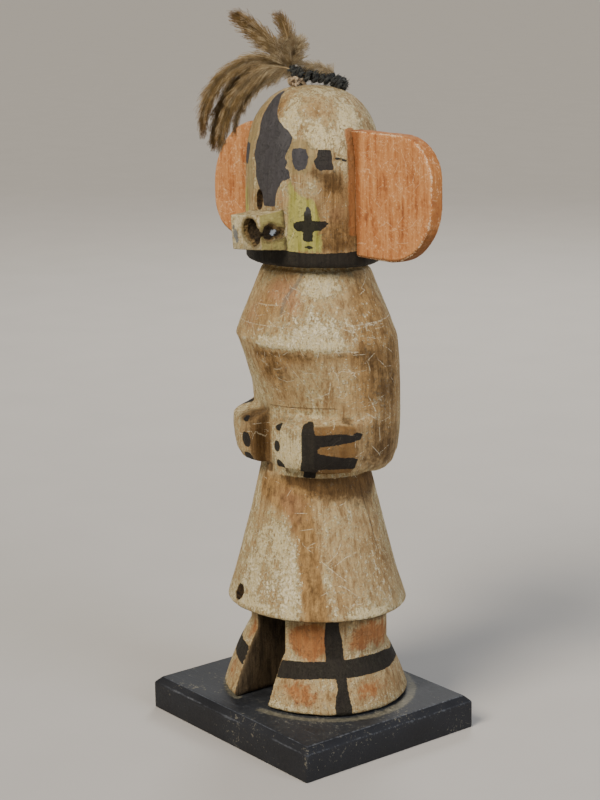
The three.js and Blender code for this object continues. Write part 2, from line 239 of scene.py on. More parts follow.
# Cottonwood root under old kaolin paint: chalky cream where the paint holds, tan wood where it has worn
# through, umber where hands and smoke have darkened it. The tan and umber washes are also painted shade under
# the torso's ledge, under the skirt's hem, on the right hand and down the doll's left side. Charcoal, ochre and
# green patches lie on top.
carving = {
    "voxel": 0.88,
    "easing": 1,
    "crownPatch": [(-30, 251.4), (-28, 250), (-24, 247.2), (-22, 244), (-19, 240.4), (-15, 236), (-18, 232.2),
        (-19, 228), (-14.5, 225), (-14, 222), (-14, 220.5), (-11, 218.8), (-6, 215.6), (-2.3, 213), (1, 210),
        (15, 210), (16, 214.5), (18.6, 216.8), (23, 219.9), (28, 220.4), (31, 221.2), (30.2, 223.7),
        (26, 224.7), (28, 226.6), (25.7, 228.7), (28.6, 231.3), (31.5, 233.2), (33, 236.1), (26.8, 238.1),
        (18, 240.1), (9.8, 242.4), (4.4, 244.5), (0, 247.2), (-6.3, 249.2), (-20, 251.6)],
    "nearEye": [(32.7, 231.8), (40.3, 232.2), (45.7, 231.9), (47.5, 229.4), (47.3, 226.6), (45, 224.7),
        (40, 224), (36, 224.4), (34, 226.4), (32.7, 229.6)],
    "outerEye": [(55.8, 231.6), (66, 231.6), (66.5, 227.6), (67.8, 224.3), (56.3, 224.2), (53.1, 225.8),
        (52.4, 227.6), (54.8, 229.1)],
    "eyeLine": [(67.5, 229), (71, 228.7), (75.8, 228.3), (79, 227.2), (75.7, 227.3), (69, 227.9)],
    "eyeHalo": [(31.3, 234.3), (40.1, 235.4), (48.3, 234.8), (53.4, 232.3), (54.8, 229.1), (51.6, 226.5),
        (50.7, 224), (43.1, 222.8), (35.9, 222.3), (30.2, 223.3), (27, 226.6), (25.7, 229.1), (27.5, 231.7)],
    "besidePatch": [(-51.6, 242), (-37.3, 236.8), (-33, 231.4), (-35, 225.6), (-37, 218), (-35, 208.5),
        (-25.2, 209.1), (-16.6, 215.1), (-19.3, 220.7), (-24, 228), (-22.4, 232.5), (-19.7, 237.4),
        (-24.3, 242.1), (-29.8, 247.1), (-35.8, 251)],
    "cheek": [(29.2, 219.3), (33.1, 219.4), (36.8, 216.9), (41.2, 214.6), (48.8, 214.4), (54.4, 212.3),
        (56.7, 209.7), (57.3, 205.2), (56.5, 201.5), (57.9, 197.4), (57.1, 194), (44.2, 193.6), (28.8, 193.2),
        (27.8, 194.3), (28.6, 202), (28.2, 211.1), (30.2, 214.5)],
    "crossUpright": [(47.1, 211.6), (49.5, 208.9), (50.3, 205), (50.6, 200), (50.5, 197.8), (46, 197.8),
        (42.4, 198.2), (43.7, 205), (43.8, 208.1), (45.5, 210.4)],
    "crossBar": [(34.6, 204.6), (40.2, 205.4), (55, 205.5), (60.4, 205.4), (62.9, 204.8), (60.4, 203.4),
        (57.3, 202), (43.6, 201.6), (37.5, 201.5), (34.6, 202.8)],
    "crossMark": [(42.4, 195.6), (47.6, 196.6), (52.4, 195.3), (47.6, 195)],
    "cuff": [(42, 128.4), (44.6, 129.3), (49.3, 129.8), (50.3, 127.9), (50.9, 125.8), (59.9, 126.4),
        (68.6, 126.5), (73, 125.5), (76, 126.8), (80.6, 125.6), (79, 123.7), (71.8, 122.9), (65.7, 122.6),
        (59.8, 121.9), (53.9, 121.4), (52, 120.2), (52.6, 118.9), (56.9, 118.4), (65.8, 117.4), (73.5, 116.8),
        (77.8, 116.2), (77, 111.8), (66.6, 112.1), (57, 112.3), (52.6, 111.8), (51.9, 109.6), (50, 104),
        (37, 104), (41.6, 115.8), (41.8, 121.7)],
    "cuffOchre": [(50, 128.6), (66, 129.4), (78, 129), (79, 118), (76, 107.5), (50, 107.5)],
    "armSpan": (106, 131),
    "legTop": 50.5,
    "chin": {"height": 193.9, "wave": 0.5, "drop": 2, "rimRadius": 21},
    "innerLegs": {1: -10.2, -1: 7.3},  # where each leg's inner face stands, by the way that it looks
    "rightCuffTurn": 24,  # the right cuff stands this much further round than the left one
    "handSpots": [(19.8, 126.6, 1.5, 1.3), (19, 119.2, 1.6, 2.2), (20, 111.6, 2, 2.2), (-23.8, 126, 2, 1.1),
        (-23, 118, 3.2, 3), (-22.6, 110.6, 3.4, 2.2)],
    "bandEdge": {"angle": [-180, -125, -88, -54, -20, 0, 20, 54, 88, 111, 125, 180],
        "top": [31, 31, 34.4, 33.6, 32.8, 32.4, 32.3, 33.8, 34.6, 33.6, 32, 31],
        "foot": [24, 27.6, 27.9, 27.8, 26, 25.8, 25.9, 27.9, 27.8, 27.4, 27.8, 24]},
    "upperStripe": [(57.8, 60), (57.4, 47.6), (56.9, 45.9), (56.1, 42.6), (56.9, 38.5), (57.4, 33),
        (71.2, 33), (70.6, 38.4), (69.8, 42.5), (68.3, 45.8), (67.6, 48.5), (67.6, 60)],
    "lowerStripe": [(63.4, 29), (64.3, 24), (62.7, 21.4), (61.6, 17.4), (63, 12), (71, 12), (72.2, 16.4),
        (71.3, 19.9), (70.9, 23.6), (71, 29)],
    "smear": [(39, 184.5), (34.6, 181.2), (29.1, 178.6), (24, 175.2), (22.1, 170.5)],
    "runDown": [(-16, 100), (4, 98), (18, 97), (31, 95), (38, 89), (43, 82), (45, 74), (48, 66), (50, 58),
        (51, 52)],
    "scored": [[(-11.6, 172.3), (7.4, 172.6), (21.7, 173.3)], [(29.8, 162.9), (40.9, 162.3), (50.2, 162.2),
        (57, 161.6)], [(36, 165.4), (44, 163.8), (53, 163.6)], [(61.1, 157.1), (70.4, 157.4), (78.7, 157)],
        [(68.5, 149.9), (75.3, 149.2), (81.4, 149.6)], [(78.8, 165), (89.1, 165.8), (101.4, 166.3)],
        [(33.5, 148.9), (43.1, 143.5), (48.6, 139.2)], [(79.5, 77.5), (71.5, 76.2), (63.1, 73.1)],
        [(54.9, 75), (62.9, 71.3), (70.4, 67.8)], [(70, 82), (66, 78), (60, 75)], [(88, 120), (95, 116)],
        [(40, 176), (47, 172), (52, 171)], [(86, 139), (92, 131), (94, 122)], [(62, 152), (67, 147),
        (69, 140)], [(-150, 150), (-140, 143), (-128, 141)], [(150, 80), (158, 72), (170, 70)], [(170, 168),
        (-178, 162), (-166, 160)], [(-92, 92), (-84, 84), (-82, 74)]],
    "knocks": [("skirt", 90, 52, 103), ("torso", 260, 106, 186), ("head", 34, 196, 246)],
    "grooved": [[(-6, 132.7), (24.8, 133.3), (46.6, 134), (66, 134.6)], [(95, 100), (99, 88), (101, 76)]],
    "faceChip": {"spot": (-2.9, -23.4, 212), "reach": (2, 2.6, 3.8)},
    "knotHole": {"spot": (-11.3, -29.8, 56.4), "reach": (3.5, 2.1, 3.4)},
}

# How far the paint has worn to bare wood (above zero) or kept its white (below zero). The washes on the right
# hand and down the doll's left side also darken it as painted shade.
bareWashes = {
    "head": [(34, 240, 13, 6, -0.5), (8, 245, 5, 3.4, 0.9), (50, 246, 8, 3.4, 0.6), (40, 236, 2.4, 5, 0.5),
        (25, 236, 5, 9, -0.5), (88, 243, 5, 5, -0.9), (55, 235, 6, 4, -0.6), (62, 244, 9, 6, 0.25),
        (5, 249, 5, 3, 0.5), (52, 218, 3.5, 6, -0.7), (40, 228, 10, 8, 0.5), (66, 217, 8, 5, 0.8),
        (72, 206, 12, 13, 0.75), (64, 198, 10, 5, 0.8), (74, 222, 3, 14, -0.4), (20, 213, 6, 5, 0.2),
        (-34, 226, 6, 22, 0.5), (120, 215, 14, 22, 0.3), (-100, 215, 14, 22, 0.3), (180, 220, 16, 16, 0.3),
        (140, 240, 20, 8, -0.3)],
    "torso": [(8, 176, 9, 8, 0.75), (22, 181, 6, 5, 0.5), (46, 172, 9, 6, 0.1), (92, 176, 10, 9, 0.75),
        (58, 181, 9, 4, -0.6), (52, 165, 9, 7, -0.3), (15, 159, 8, 2.2, -1.1), (35, 160, 12, 2.2, -0.7),
        (30, 170, 8, 6, 0.45), (-2, 168, 6, 8, 0.5), (60, 159, 8, 2.5, -0.5), (72, 172, 5, 8, -0.1),
        (6, 150, 8, 7, 1.0), (28, 154, 14, 3, 0.8), (70, 155, 10, 2.2, 0.4), (84, 156, 5, 12, 0.8),
        (103, 155, 9, 20, 0.9), (98, 136, 12, 16, 0.6), (96, 118, 16, 12, 0.5), (-25, 165, 9, 9, 0.5),
        (-95, 150, 16, 20, 0.5), (180, 160, 20, 18, 0.45), (150, 122, 14, 8, -0.2), (48, 140, 22, 13, 0.25),
        (20, 140, 6, 9, 0.35), (30, 118, 6, 9, -0.7), (60, 131.5, 24, 2, -0.4), (-12, 118, 3, 10, 0.9),
        (88, 108, 8, 4, -0.3), (-24, 118, 5, 10, 0.35)],
    "skirt": [(62, 103, 32, 4.4, 1.2), (20, 96, 10, 6, 0.9), (38, 90, 5, 8, 0.9), (44, 74, 3.6, 12, 0.9),
        (50, 60, 3.6, 9, 0.9), (64, 70, 8, 13, 0.3), (66, 58, 3, 8, 0.45), (64, 92, 12, 9, 0.2),
        (-5, 70, 16, 18, -0.35), (34, 66, 3.6, 14, -0.7), (18, 84, 6, 8, -0.4), (8, 66, 3, 14, 0.35),
        (22, 68, 3, 12, 0.2), (88, 78, 8, 16, 0.3), (103, 72, 5, 18, 0.5), (-16, 88, 4, 12, 0.6),
        (56, 66, 2.2, 8, -0.8), (-80, 78, 8, 22, 0.5), (-130, 75, 12, 20, -0.2), (165, 80, 9, 22, 0.55),
        (84, 55, 14, 2.4, -0.5), (20, 55, 20, 2, -0.4)],
    "legs": [(40, 20, 12, 8, 0.2), (100, 20, 12, 8, 0.35), (-30, 20, 8, 8, 0.3), (76, 42, 4, 6, 0.1),
        (50, 48, 14, 3, 0.3), (32, 16, 10, 2, -0.5), (90, 16, 10, 2, -0.4), (150, 20, 14, 8, 0.3)],
}

# Brown smoke and handling dirt, and painted shade: the strongest washes darken the top of the skirt under
# the torso's ledge, the legs under the skirt's hem and the doll's left side, where shade falls.
umberAndShadeWashes = {
    "head": [(64, 221.5, 6, 3, 1.0), (69, 217.5, 3.6, 2.4, 0.9), (51, 223.5, 4, 1.8, 0.6),
        (70, 200, 12, 6, 0.55), (66, 208, 9, 6, 0.3), (64, 196, 14, 3, 0.45), (31, 219, 1.5, 4, 0.5),
        (-2, 249, 3, 2, 0.4), (5, 247, 3.4, 1.6, 0.4)],
    "torso": [(28, 155, 18, 2, 0.6), (8, 150, 7, 5, 0.55), (20, 146, 6, 4, 0.45), (72, 156, 9, 1.4, 0.4),
        (84, 160, 2.4, 9, 0.35), (88, 152, 4, 5, 0.6), (106, 154, 5, 14, 0.5), (100, 140, 7, 7, 0.35),
        (-12, 118, 2.8, 13, 1.0), (-26, 128, 7, 3, 1.1), (-22, 120, 7, 8, 0.4), (24, 129, 8, 1.6, 0.5),
        (100, 118, 12, 9, 0.95), (96, 141, 9, 10, 0.4), (-13, 107, 4, 3, 0.9), (92, 128, 3, 3, 0.4),
        (93, 181, 6, 4, 0.35), (57, 184, 40, 1.6, 0.35), (72, 130.5, 2, 1.4, 0.8)],
    "skirt": [(85, 104.6, 24, 3.8, 2.5), (50, 105.2, 14, 2.6, 1.5), (85, 100, 20, 6, 0.4),
        (20, 105, 14, 1.4, 0.6), (-60, 104, 20, 3, 0.6), (150, 104, 30, 4, 0.7), (98, 97, 8, 4, 0.5),
        (62, 99, 8, 2, 0.35)],
    "legs": [(100, 49, 16, 3, 0.9), (40, 50.5, 14, 1.6, 0.7), (-60, 49, 20, 3, 0.8), (30, 34.5, 8, 1.6, 0.3),
        (100, 36, 8, 2, 0.4)],
}

# Thin red ochre on the legs.
ochreWashes = {
    "legs": [(36, 42, 8, 6, 0.95), (48, 41, 6, 7, 0.8), (40, 37, 6, 2.4, 0.35), (54, 46, 3, 4, 0.4),
        (92, 43.6, 8, 5.6, 0.95), (80, 40, 4, 3.6, 0.5), (112, 40, 6, 6, 0.7), (42, 21, 8, 6, 0.7),
        (30, 24, 4, 3, 0.3), (86, 22, 7, 5, 0.7), (114, 22, 6, 6, 0.35), (-30, 40, 4, 6, 0.7),
        (-34, 22, 5, 5, 0.6), (-70, 42, 9, 6, 0.7), (-100, 22, 9, 7, 0.4), (150, 42, 10, 6, 0.6),
        (-150, 22, 10, 6, 0.4)],
}

# Rosy undercoat that shows where the kaolin has thinned.
rosyWashes = {
    "head": [(22, 214, 4, 4, 0.5), (68, 208, 8, 6, 0.4)],
    "torso": [(14, 178, 9, 6, 0.8), (34, 174, 5, 8, 0.6), (30, 150, 8, 4, 0.3), (-14, 168, 6, 8, 0.5)],
    "skirt": [(30, 92, 8, 9, 0.45), (14, 98, 10, 5, 0.4)],
    "legs": [(40, 26, 8, 4, 0.3)],
}

# Flaking white: small crisp flakes on worn wood.
flakeWashes = {
    "head": [(30, 242, 10, 5, 0.6), (52, 218, 4, 6, 0.25), (20, 214, 4, 4, 0.3)],
    "torso": [(50, 166, 12, 6, 0.8), (20, 160, 16, 2.4, 0.9), (56, 182, 10, 4, 0.5), (100, 136, 8, 14, 0.35),
        (80, 164, 6, 4, 0.5), (28, 122, 6, 5, 0.5)],
    "skirt": [(34, 68, 7, 16, 0.9), (8, 62, 14, 8, 0.8), (-14, 70, 5, 12, 0.7), (60, 62, 3, 9, 0.6),
        (98, 72, 8, 16, 0.5), (20, 84, 8, 8, 0.5)],
    "legs": [(36, 17, 8, 3, 0.5), (90, 18, 8, 3, 0.6)],
}


# Blends the same kind of field over head, torso, skirt and legs, each within its own heights.
def fieldByZone(angle, height, zones):
    total = np.zeros(len(angle))
    for zone, spots in zones.items():
        low, high = zoneSpans[zone]
        here = (height >= low) & (height < high)
        total[here] = washes(angle[here], height[here], spots)
    return total


def paintCarving(mesh):
    points, normals = meshShape(mesh)
    angle, height, x, y = wrapCoordinates(points)
    radius = np.hypot(x, y)
    onHead = height > zoneSpans["head"][0]
    onArms = (height > carving["armSpan"][0]) & (height < carving["armSpan"][1])
    onLegs = height < carving["legTop"]
    black, green, halo, cuffOchre = (np.full(len(points), unset) for _ in range(4))

    def add(values, mask, edge):
        values[mask] = np.maximum(values[mask], edge)

    def addOutline(values, mask, zone, name, mirrored, turn=0):
        add(values, mask, insideOutline(angle[mask] + turn, height[mask], carving[name], unwrapRadius[zone],
                                        mirrored))

    for mirrored in (False, True):
        cuffTurn = carving["rightCuffTurn"] * mirrored
        for name in ("nearEye", "outerEye", "eyeLine", "crossUpright", "crossBar", "crossMark"):
            addOutline(black, onHead, "head", name, mirrored)
        for name in ("upperStripe", "lowerStripe"):
            addOutline(black, onLegs, "legs", name, mirrored)
        addOutline(black, onArms, "arms", "cuff", mirrored, cuffTurn)
        addOutline(cuffOchre, onArms, "arms", "cuffOchre", mirrored, cuffTurn)
        addOutline(green, onHead, "head", "cheek", mirrored)
        addOutline(halo, onHead, "head", "eyeHalo", mirrored)
    addOutline(black, onHead, "head", "crownPatch", False)
    addOutline(halo, onHead, "head", "besidePatch", False)
    dusty = np.clip((height - 207) / 3, 0, 1) * np.where(np.abs(angle) > 50, 0.25, 1)
    lowered = np.clip((-angle - 5) / 60, 0, 1) * np.clip((175 - np.abs(angle)) / 60, 0, 1)
    chin = carving["chin"]
    chinEdge = chin["height"] + chin["wave"] * np.cos(np.radians(angle * 3)) - chin["drop"] * lowered
    add(black, onHead, np.minimum(chinEdge - height, radius - chin["rimRadius"])[onHead])

    onHand = onArms & (y < -18)
    for spotAngle, spotHeight, halfWidth, halfHeight in carving["handSpots"]:
        across = (x - 26 * math.tan(math.radians(spotAngle))) / halfWidth
        up = (height - spotHeight) / halfHeight
        add(black, onHand, ((1 - np.hypot(across, up)) * min(halfWidth, halfHeight))[onHand])

    band = carving["bandEdge"]
    bandTop = np.interp(angle, band["angle"], band["top"])
    bandFoot = np.interp(angle, band["angle"], band["foot"])
    add(black, onLegs, np.minimum(bandTop - height, height - bandFoot)[onLegs])
    # A thin black line round the foot of each leg, where it meets the plinth, is painted shadow.
    add(black, onLegs, (plinthTop / mm + 1.1 + 0.5 * swells(points / mm, 5, 41) - height)[onLegs])

    # Never painted: between the legs and under the skirt, and the broken spots. Between the legs and under the
    # skirt the bare wood is also painted darker than elsewhere, as painted shade.
    between = np.maximum(*(
        np.clip(side * normals[:, 0] * 2 - 0.4, 0, 1) * (np.abs(x - place) < 1.4)
        for side, place in carving["innerLegs"].items())) * (height < carving["legTop"] + 0.1)
    under = np.clip(-normals[:, 2] * 3 - 1.6, 0, 1) * (height < 54) * (height > 40)
    unpaintedAndShaded = np.maximum(between, under)
    black = np.where(unpaintedAndShaded > 0.5, np.minimum(black, -2), black)
    broken = np.zeros(len(points))
    for name in ("faceChip", "knotHole"):
        spot, reach = (np.array(carving[name][key]) for key in ("spot", "reach"))
        gap = np.linalg.norm((np.stack([x, y, height], 1) - spot) / reach, axis=1)
        broken = np.maximum(broken, np.clip((1.16 - gap) / 0.2, 0, 1))

    flat = np.stack([np.radians(angle) * unwrapRadius["body"], height], 1)
    scale = np.array([math.radians(unwrapRadius["body"]), 1])
    lines = [np.array(line) * scale for line in carving["scored"]]
    for name, count, low, high in carving["knocks"]:
        lines += knocks(count, (-94, low), (94, high), count)
    scored, scoredNear = acrossLines(flat, lines)
    scoredNear = scoredNear * np.where(black > -0.3, 0.25, 1) * np.clip(1.3 * radius / 30, 0, 1)
    grooved, groovedNear = acrossLines(flat, [np.array(line) * scale for line in carving["grooved"]])
    smear, runDown = (acrossLines(flat, [np.array(carving[name]) * scale])[0] for name in ("smear", "runDown"))

    # bare is worn wood, and painted shade on the right hand and down the doll's left side.
    bare = fieldByZone(angle, height, bareWashes) + 2.4 * np.exp(-(runDown / 3.2) ** 2)
    besideEar = np.exp(-((np.abs(angle) - 83) / 4.2) ** 2) * (height > 200) * (height < 239)
    ochre = np.maximum(fieldByZone(angle, height, ochreWashes), 1.3 * besideEar * (radius > 20))
    flaking = fieldByZone(angle, height, flakeWashes) - 2 * np.exp(-(runDown / 3) ** 2)
    # umberAndShade is dirt, and painted shade under the ledge, under the hem and down the doll's left side.
    umberAndShade = fieldByZone(angle, height, umberAndShadeWashes) + 0.42 * np.exp(-(runDown / 2.6) ** 2)
    mustard = np.clip(cuffOchre / 1.2 + 0.6, 0, 1) * np.clip((84 - np.abs(angle)) / 14 + 0.2, 0.3, 1)

    storeFields(mesh, {
        "black": black, "dusty": dusty, "green": green, "halo": halo, "bare": bare, "umberAndShade": umberAndShade,
        "ochre": ochre,
        "mustard": mustard, "rosy": fieldByZone(angle, height, rosyWashes), "flaking": flaking,
        "unpaintedAndShaded": unpaintedAndShaded,
        "broken": broken, "smear": np.exp(-(smear / 1.1) ** 2), "scored": scored, "scoredNear": scoredNear,
        "grooved": grooved, "groovedNear": groovedNear})


# Knife work and age: slow swells, long shallow cuts down the grain, small dents.
def ageSurface(piece, slow=0.2, cuts=0.1, dents=0.05, seed=3):
    mesh = piece.data
    points, normals = meshShape(mesh)
    grain = points * np.array([1, 1, 0.16])
    depth = slow * swells(points, 11 * mm, seed) + cuts * swells(grain, 2.6 * mm, seed + 1)
    depth += dents * swells(points, 1.7 * mm, seed + 2)
    setPoints(mesh, points + normals * (depth * mm)[:, None])


def newMaterial(name):
    material = bpy.data.materials.new(name)
    material.use_nodes = True
    material.node_tree.nodes.clear()
    return material, functools.partial(addNode, material.node_tree)


# Starts a material with the mesh fields that it reads and its noises. A noise is its stretch along x, y and z
# and its scale, detail and roughness.
def startSurface(name, fields, noises):
    material, add = newMaterial(name)
    coords = add("ShaderNodeTexCoord").outputs["Object"]
    field = {label: add("ShaderNodeAttribute", attribute_name=label) for label in fields}
    made = []
    for stretch, scale, detail, roughness in noises:
        place = add("ShaderNodeMapping", {"Vector": coords, "Scale": stretch})
        made.append(add("ShaderNodeTexNoise", {
            "Vector": place, "Scale": scale, "Detail": detail, "Roughness": roughness}))
    return material, add, field, made


# Ends a material. relief is its height and that height's depth in mm; more holds other shader values.
def endSurface(add, colour, roughness, gloss, relief=None, more=()):
    values = {"Base Color": colour, "Roughness": roughness, "Specular IOR Level": gloss, **dict(more)}
    if relief:
        values["Normal"] = add("ShaderNodeBump", {
            "Height": relief[0], "Distance": relief[1] * mm, "Strength": 1})
    add("ShaderNodeOutputMaterial", {"Surface": add("ShaderNodeBsdfPrincipled", values)})


perMm = (1000, 1000, 1000)  # stretch that makes a noise's scale count per mm


# The weighted sum of some (node, weight) terms.
def weighted(add, terms):
    total = 0.0
    for value, weight in terms:
        total = add("ShaderNodeMath", [value, weight, total], operation="MULTIPLY_ADD")
    return total


# Paint layers laid over each other. Each is its terms, where their sum starts and is whole, its greatest
# share, its two tones and the texture that blends them. Gives the colour and every layer's share.
def layered(add, layers):
    colour, shares, blends = None, [], {}
    for terms, (start, whole), greatest, tones, blend in layers:
        share = add("ShaderNodeMapRange", {
            "Value": weighted(add, terms), "From Min": start, "From Max": whole, "To Max": greatest},
            interpolation_type="SMOOTHSTEP")
        if blend not in blends:
            blends[blend] = add("ShaderNodeMapRange", {"Value": blend, "From Min": 0.36, "From Max": 0.64})
        tone = add("ShaderNodeMix", [blends[blend], *tones], data_type="RGBA")
        colour = add("ShaderNodeMix", [share, colour, tone], data_type="RGBA") if colour else tone
        shares.append(share)
    return colour, shares


# Fine pale scratches where the mesh's scored lines run, broken up by the flakes.
def scratches(add, flakes, halfWidth, strength):
    apart = add("ShaderNodeMath", [add("ShaderNodeAttribute", attribute_name="scored")], operation="ABSOLUTE")
    line = add("ShaderNodeMapRange", {"Value": apart, "From Min": halfWidth, "From Max": halfWidth * 0.4})
    near = add("ShaderNodeAttribute", attribute_name="scoredNear")
    marked = add("ShaderNodeMath", [line, near], operation="MULTIPLY")
    unbroken = add("ShaderNodeMapRange", {"Value": flakes, "From Min": 0.38, "From Max": 0.52,
                                          "To Max": strength})
    return add("ShaderNodeMath", [marked, unbroken], operation="MULTIPLY")


# Seeded random scratches inside a box of (across, height) mm: mostly long slants, a few short ones.
def knocks(count, low, high, seed):
    rng = np.random.default_rng(seed)
    lines = []
    for start in rng.uniform(low, high, (count, 2)):
        turn = rng.choice([0.5, -0.6, 1.2, 0.05]) + rng.normal(0, 0.25)
        length = rng.uniform(1.5, 3) * rng.uniform(1, 2.4)
        bow = rng.normal(0, 0.12)
        middle = start + np.array([math.cos(turn), math.sin(turn)]) * length / 2
        lines.append([start, middle, middle + np.array([math.cos(turn + bow),
                                                        math.sin(turn + bow)]) * length / 2])
    return lines


# Kaolin paint on cottonwood root. Chalky and matte; it has worn through in flakes about 1 mm across and
# brush streaks 2 to 3 mm wide that run down the figure, and knocks have scored it in fine pale lines.
def kaolinPaint():
    material, add, field, noises = startSurface("WornKaolinPaintOnCottonwood", (
        "black", "dusty", "green", "halo", "bare", "umberAndShade", "ochre", "mustard", "rosy", "flaking", "unpaintedAndShaded",
        "broken", "smear", "grooved", "groovedNear"), (
            (perMm, 0.07, 3, 0.5), (perMm, 0.34, 7, 0.7), ((1000, 1000, 120), 0.5, 6, 0.72),
            (perMm, 0.95, 4, 0.72), (perMm, 1.5, 2, 0.5), ((1000, 1000, 40), 1.5, 2, 0.5)))
    patches, mottle, streaks, flakes, pore, grainLine = noises
    cover = ((mottle, 0.45), (streaks, 0.35), (flakes, 0.35), (patches, 0.25), (field["bare"], -0.22))
    sooty = add("ShaderNodeMix", [field["dusty"], "#0f0e0c", "#37373b"], data_type="RGBA")
    ashen = add("ShaderNodeMix", [field["dusty"], "#1d1b17", "#48474b"], data_type="RGBA")
    apart = add("ShaderNodeMath", [field["grooved"]], operation="ABSOLUTE")
    groove = add("ShaderNodeMapRange", {"Value": apart, "From Min": 0.4, "From Max": 0.1})
    groove = add("ShaderNodeMath", [groove, field["groovedNear"]], operation="MULTIPLY")
    marked = scratches(add, flakes, 0.23, 0.9)
    colour, shares = layered(add, (
        (((mottle, 1),), (0, 1), 1, ("#806440", "#bda476"), streaks),
        # Worn tan wood, which on the right hand and the doll's left side is also painted shade.
        (((field["bare"], 0.8), (streaks, 0.9), (mottle, 0.6)), (0.95, 1.5), 0.75, ("#6c4d26", "#aa8550"),
         streaks),
        (((field["rosy"], 1), (mottle, 1.2), (flakes, 0.4)), (0.95, 1.5), 0.6, ("#94694a", "#b58a66"), streaks),
        (cover, (0.6, 0.75), 0.7, ("#a59062", "#cdbe92"), flakes),
        (cover, (0.71, 0.74), 0.85, ("#b3a172", "#e2d7ae"), flakes),
        (((grainLine, 1),), (0.57, 0.65), 0.45, ("#6d5230", "#7b6140"), flakes),
        (((pore, 1),), (0.63, 0.69), 0.6, ("#4b371e", "#5c4629"), flakes),
        (((field["flaking"], 0.12), (flakes, 1), (streaks, 0.5)), (0.86, 0.89), 0.85, ("#cfc298", "#e6dcbc"),
         mottle),
        # Umber layer: smoke and dirt, and painted shade under the ledge, under the hem and on the doll's left
        # side.
        (((field["umberAndShade"], 1), (mottle, 1.8), (flakes, 1.2)), (1.6, 2.5), 0.88, ("#3b2913", "#664b29"),
         streaks),
        (((field["ochre"], 1), (mottle, 1.6), (flakes, 0.9)), (1.55, 1.95), 0.9, ("#85502a", "#ad7543"),
         streaks),
        (((field["mustard"], 1), (streaks, 0.9), (flakes, 0.8)), (1.3, 1.75), 0.85, ("#5b3e1b", "#7d592c"),
         mottle),
        (((field["green"], 1), (streaks, 6), (flakes, 2.5)), (3.9, 5.1), 0.85, ("#8a8a38", "#bcb76a"), streaks),
        (((field["halo"], 0.8), (flakes, 3), (mottle, 1.2)), (1.9, 2.6), 0.8, ("#84724a", "#a29066"), streaks),
        (((field["smear"], 1), (streaks, 0.8)), (0.65, 1.25), 0.6, ("#5c564c", "#7c7568"), flakes),
        (((field["black"], 1), (flakes, 1), (streaks, 0.9)), (0.82, 1.0), 0.97, (sooty, ashen), streaks),
        (((flakes, 1), (mottle, 0.6)), (1.1, 1.15), 0.5, ("#9a927c", "#c2baa2"), streaks),
        (((marked, 1),), (0.1, 1), 0.55, ("#d8cda8", "#e8dfc2"), flakes),
        (((groove, 1),), (0, 1), 0.6, ("#46341f", "#57422b"), flakes),
        # Bare wood between the legs and under the skirt, darkened further as painted shade.
        (((field["unpaintedAndShaded"], 1),), (0.2, 0.8), 1, ("#33291b", "#6a5940"), streaks),
        (((field["broken"], 1),), (0.2, 0.8), 1, ("#120e09", "#4a371f"), flakes),
    ))
    thickLayer, flakingLayer, blackLayer = 4, 7, 14
    height = weighted(add, ((shares[thickLayer], 0.35), (shares[flakingLayer], 0.4), (flakes, 0.8), (mottle,
        0.9),
                            (streaks, 0.5), (marked, -0.3)))
    rough = add("ShaderNodeMapRange", {"Value": shares[blackLayer], "To Min": 0.88, "To Max": 0.7})
    endSurface(add, colour, rough, 0.28, (height, 0.42))
    return material


figure = evenMesh("paintedCarving", "carved_figure", carving["voxel"], carving["easing"])
ageSurface(figure)
paintCarving(figure.data)
finishPiece(figure, kaolinPaint(), ["carved_figure"])


# Ears: flat slabs in iron-oxide paint laid on with a wide brush, rubbed pale on the rim and scored in arcs.
ears = {
    "voxel": 0.6,
    "easing": 1,
    "arcs": [[(46, 207), (50, 204.6), (55, 204.4), (60, 206.4), (62.6, 209)], [(49, 200.8), (53, 199.4), (58,
        200.2)],
             [(52, 206), (56, 210)], [(48, 197.6), (52, 196.4)], [(60, 222), (62, 226), (61.6, 230)]],
}


def ochrePaint():
    material, add, field, noises = startSurface("BrushedRedOchreOnCottonwood", ("side", "rim", "root", "low"), (
        (perMm, 0.1, 4, 0.5), (perMm, 0.4, 7, 0.7), ((1000, 1000, 90), 0.42, 6, 0.7), (perMm, 1.2, 4, 0.75)))
    patches, mottle, strokes, flakes = noises
    marked = scratches(add, flakes, 0.22, 0.7)
    colour = layered(add, (
        (((mottle, 1),), (0, 1), 1, ("#a5602f", "#cf945c"), strokes),
        (((mottle, 1), (patches, 0.6)), (0.7, 0.9), 0.6, ("#b87541", "#d9a36d"), flakes),
        (((field["side"], 0.9), (mottle, 0.4)), (0.3, 1), 0.8, ("#96592a", "#b3763c"), strokes),
        (((strokes, 1), (patches, 0.6)), (0.85, 1), 0.45, ("#c68f5e", "#d6a577"), flakes),
        (((patches, -1), (mottle, -0.7)), (-0.76, -0.6), 0.55, ("#8c4c26", "#a76238"), strokes),
        (((flakes, 1), (mottle, 1)), (1.1, 1.18), 0.5, ("#d9ae80", "#e3c29a"), strokes),
        (((flakes, -1), (mottle, -0.7)), (-0.72, -0.64), 0.5, ("#7c4526", "#8d5530"), strokes),
        (((strokes, -1), (patches, -0.8), (flakes, -0.3)), (-0.93, -0.84), 0.5, ("#7d4a2e", "#94603c"), flakes),
        (((field["root"], 1.2), (strokes, 1), (mottle, 0.5)), (1.15, 1.7), 0.75, ("#6d3d1c", "#8c5228"),
         flakes),
        # Painted shade on the ear's underside, and darker towards its bottom.
        (((field["low"], 1), (mottle, 1)), (0.95, 1.4), 0.75, ("#5d3a1b", "#7f522b"), flakes),
        (((field["rim"], 0.3), (flakes, 1), (patches, 0.6)), (0.98, 1.1), 0.7, ("#dcbd92", "#e8d2b0"), strokes),
        (((marked, 1),), (0.1, 1), 0.5, ("#e0bf94", "#ecd5b0"), flakes),
    ))[0]
    height = weighted(add, ((flakes, 0.8), (mottle, 0.8), (strokes, 0.6), (marked, -0.3)))
    endSurface(add, colour, 0.84, 0.28, (height, 0.28))
    return material


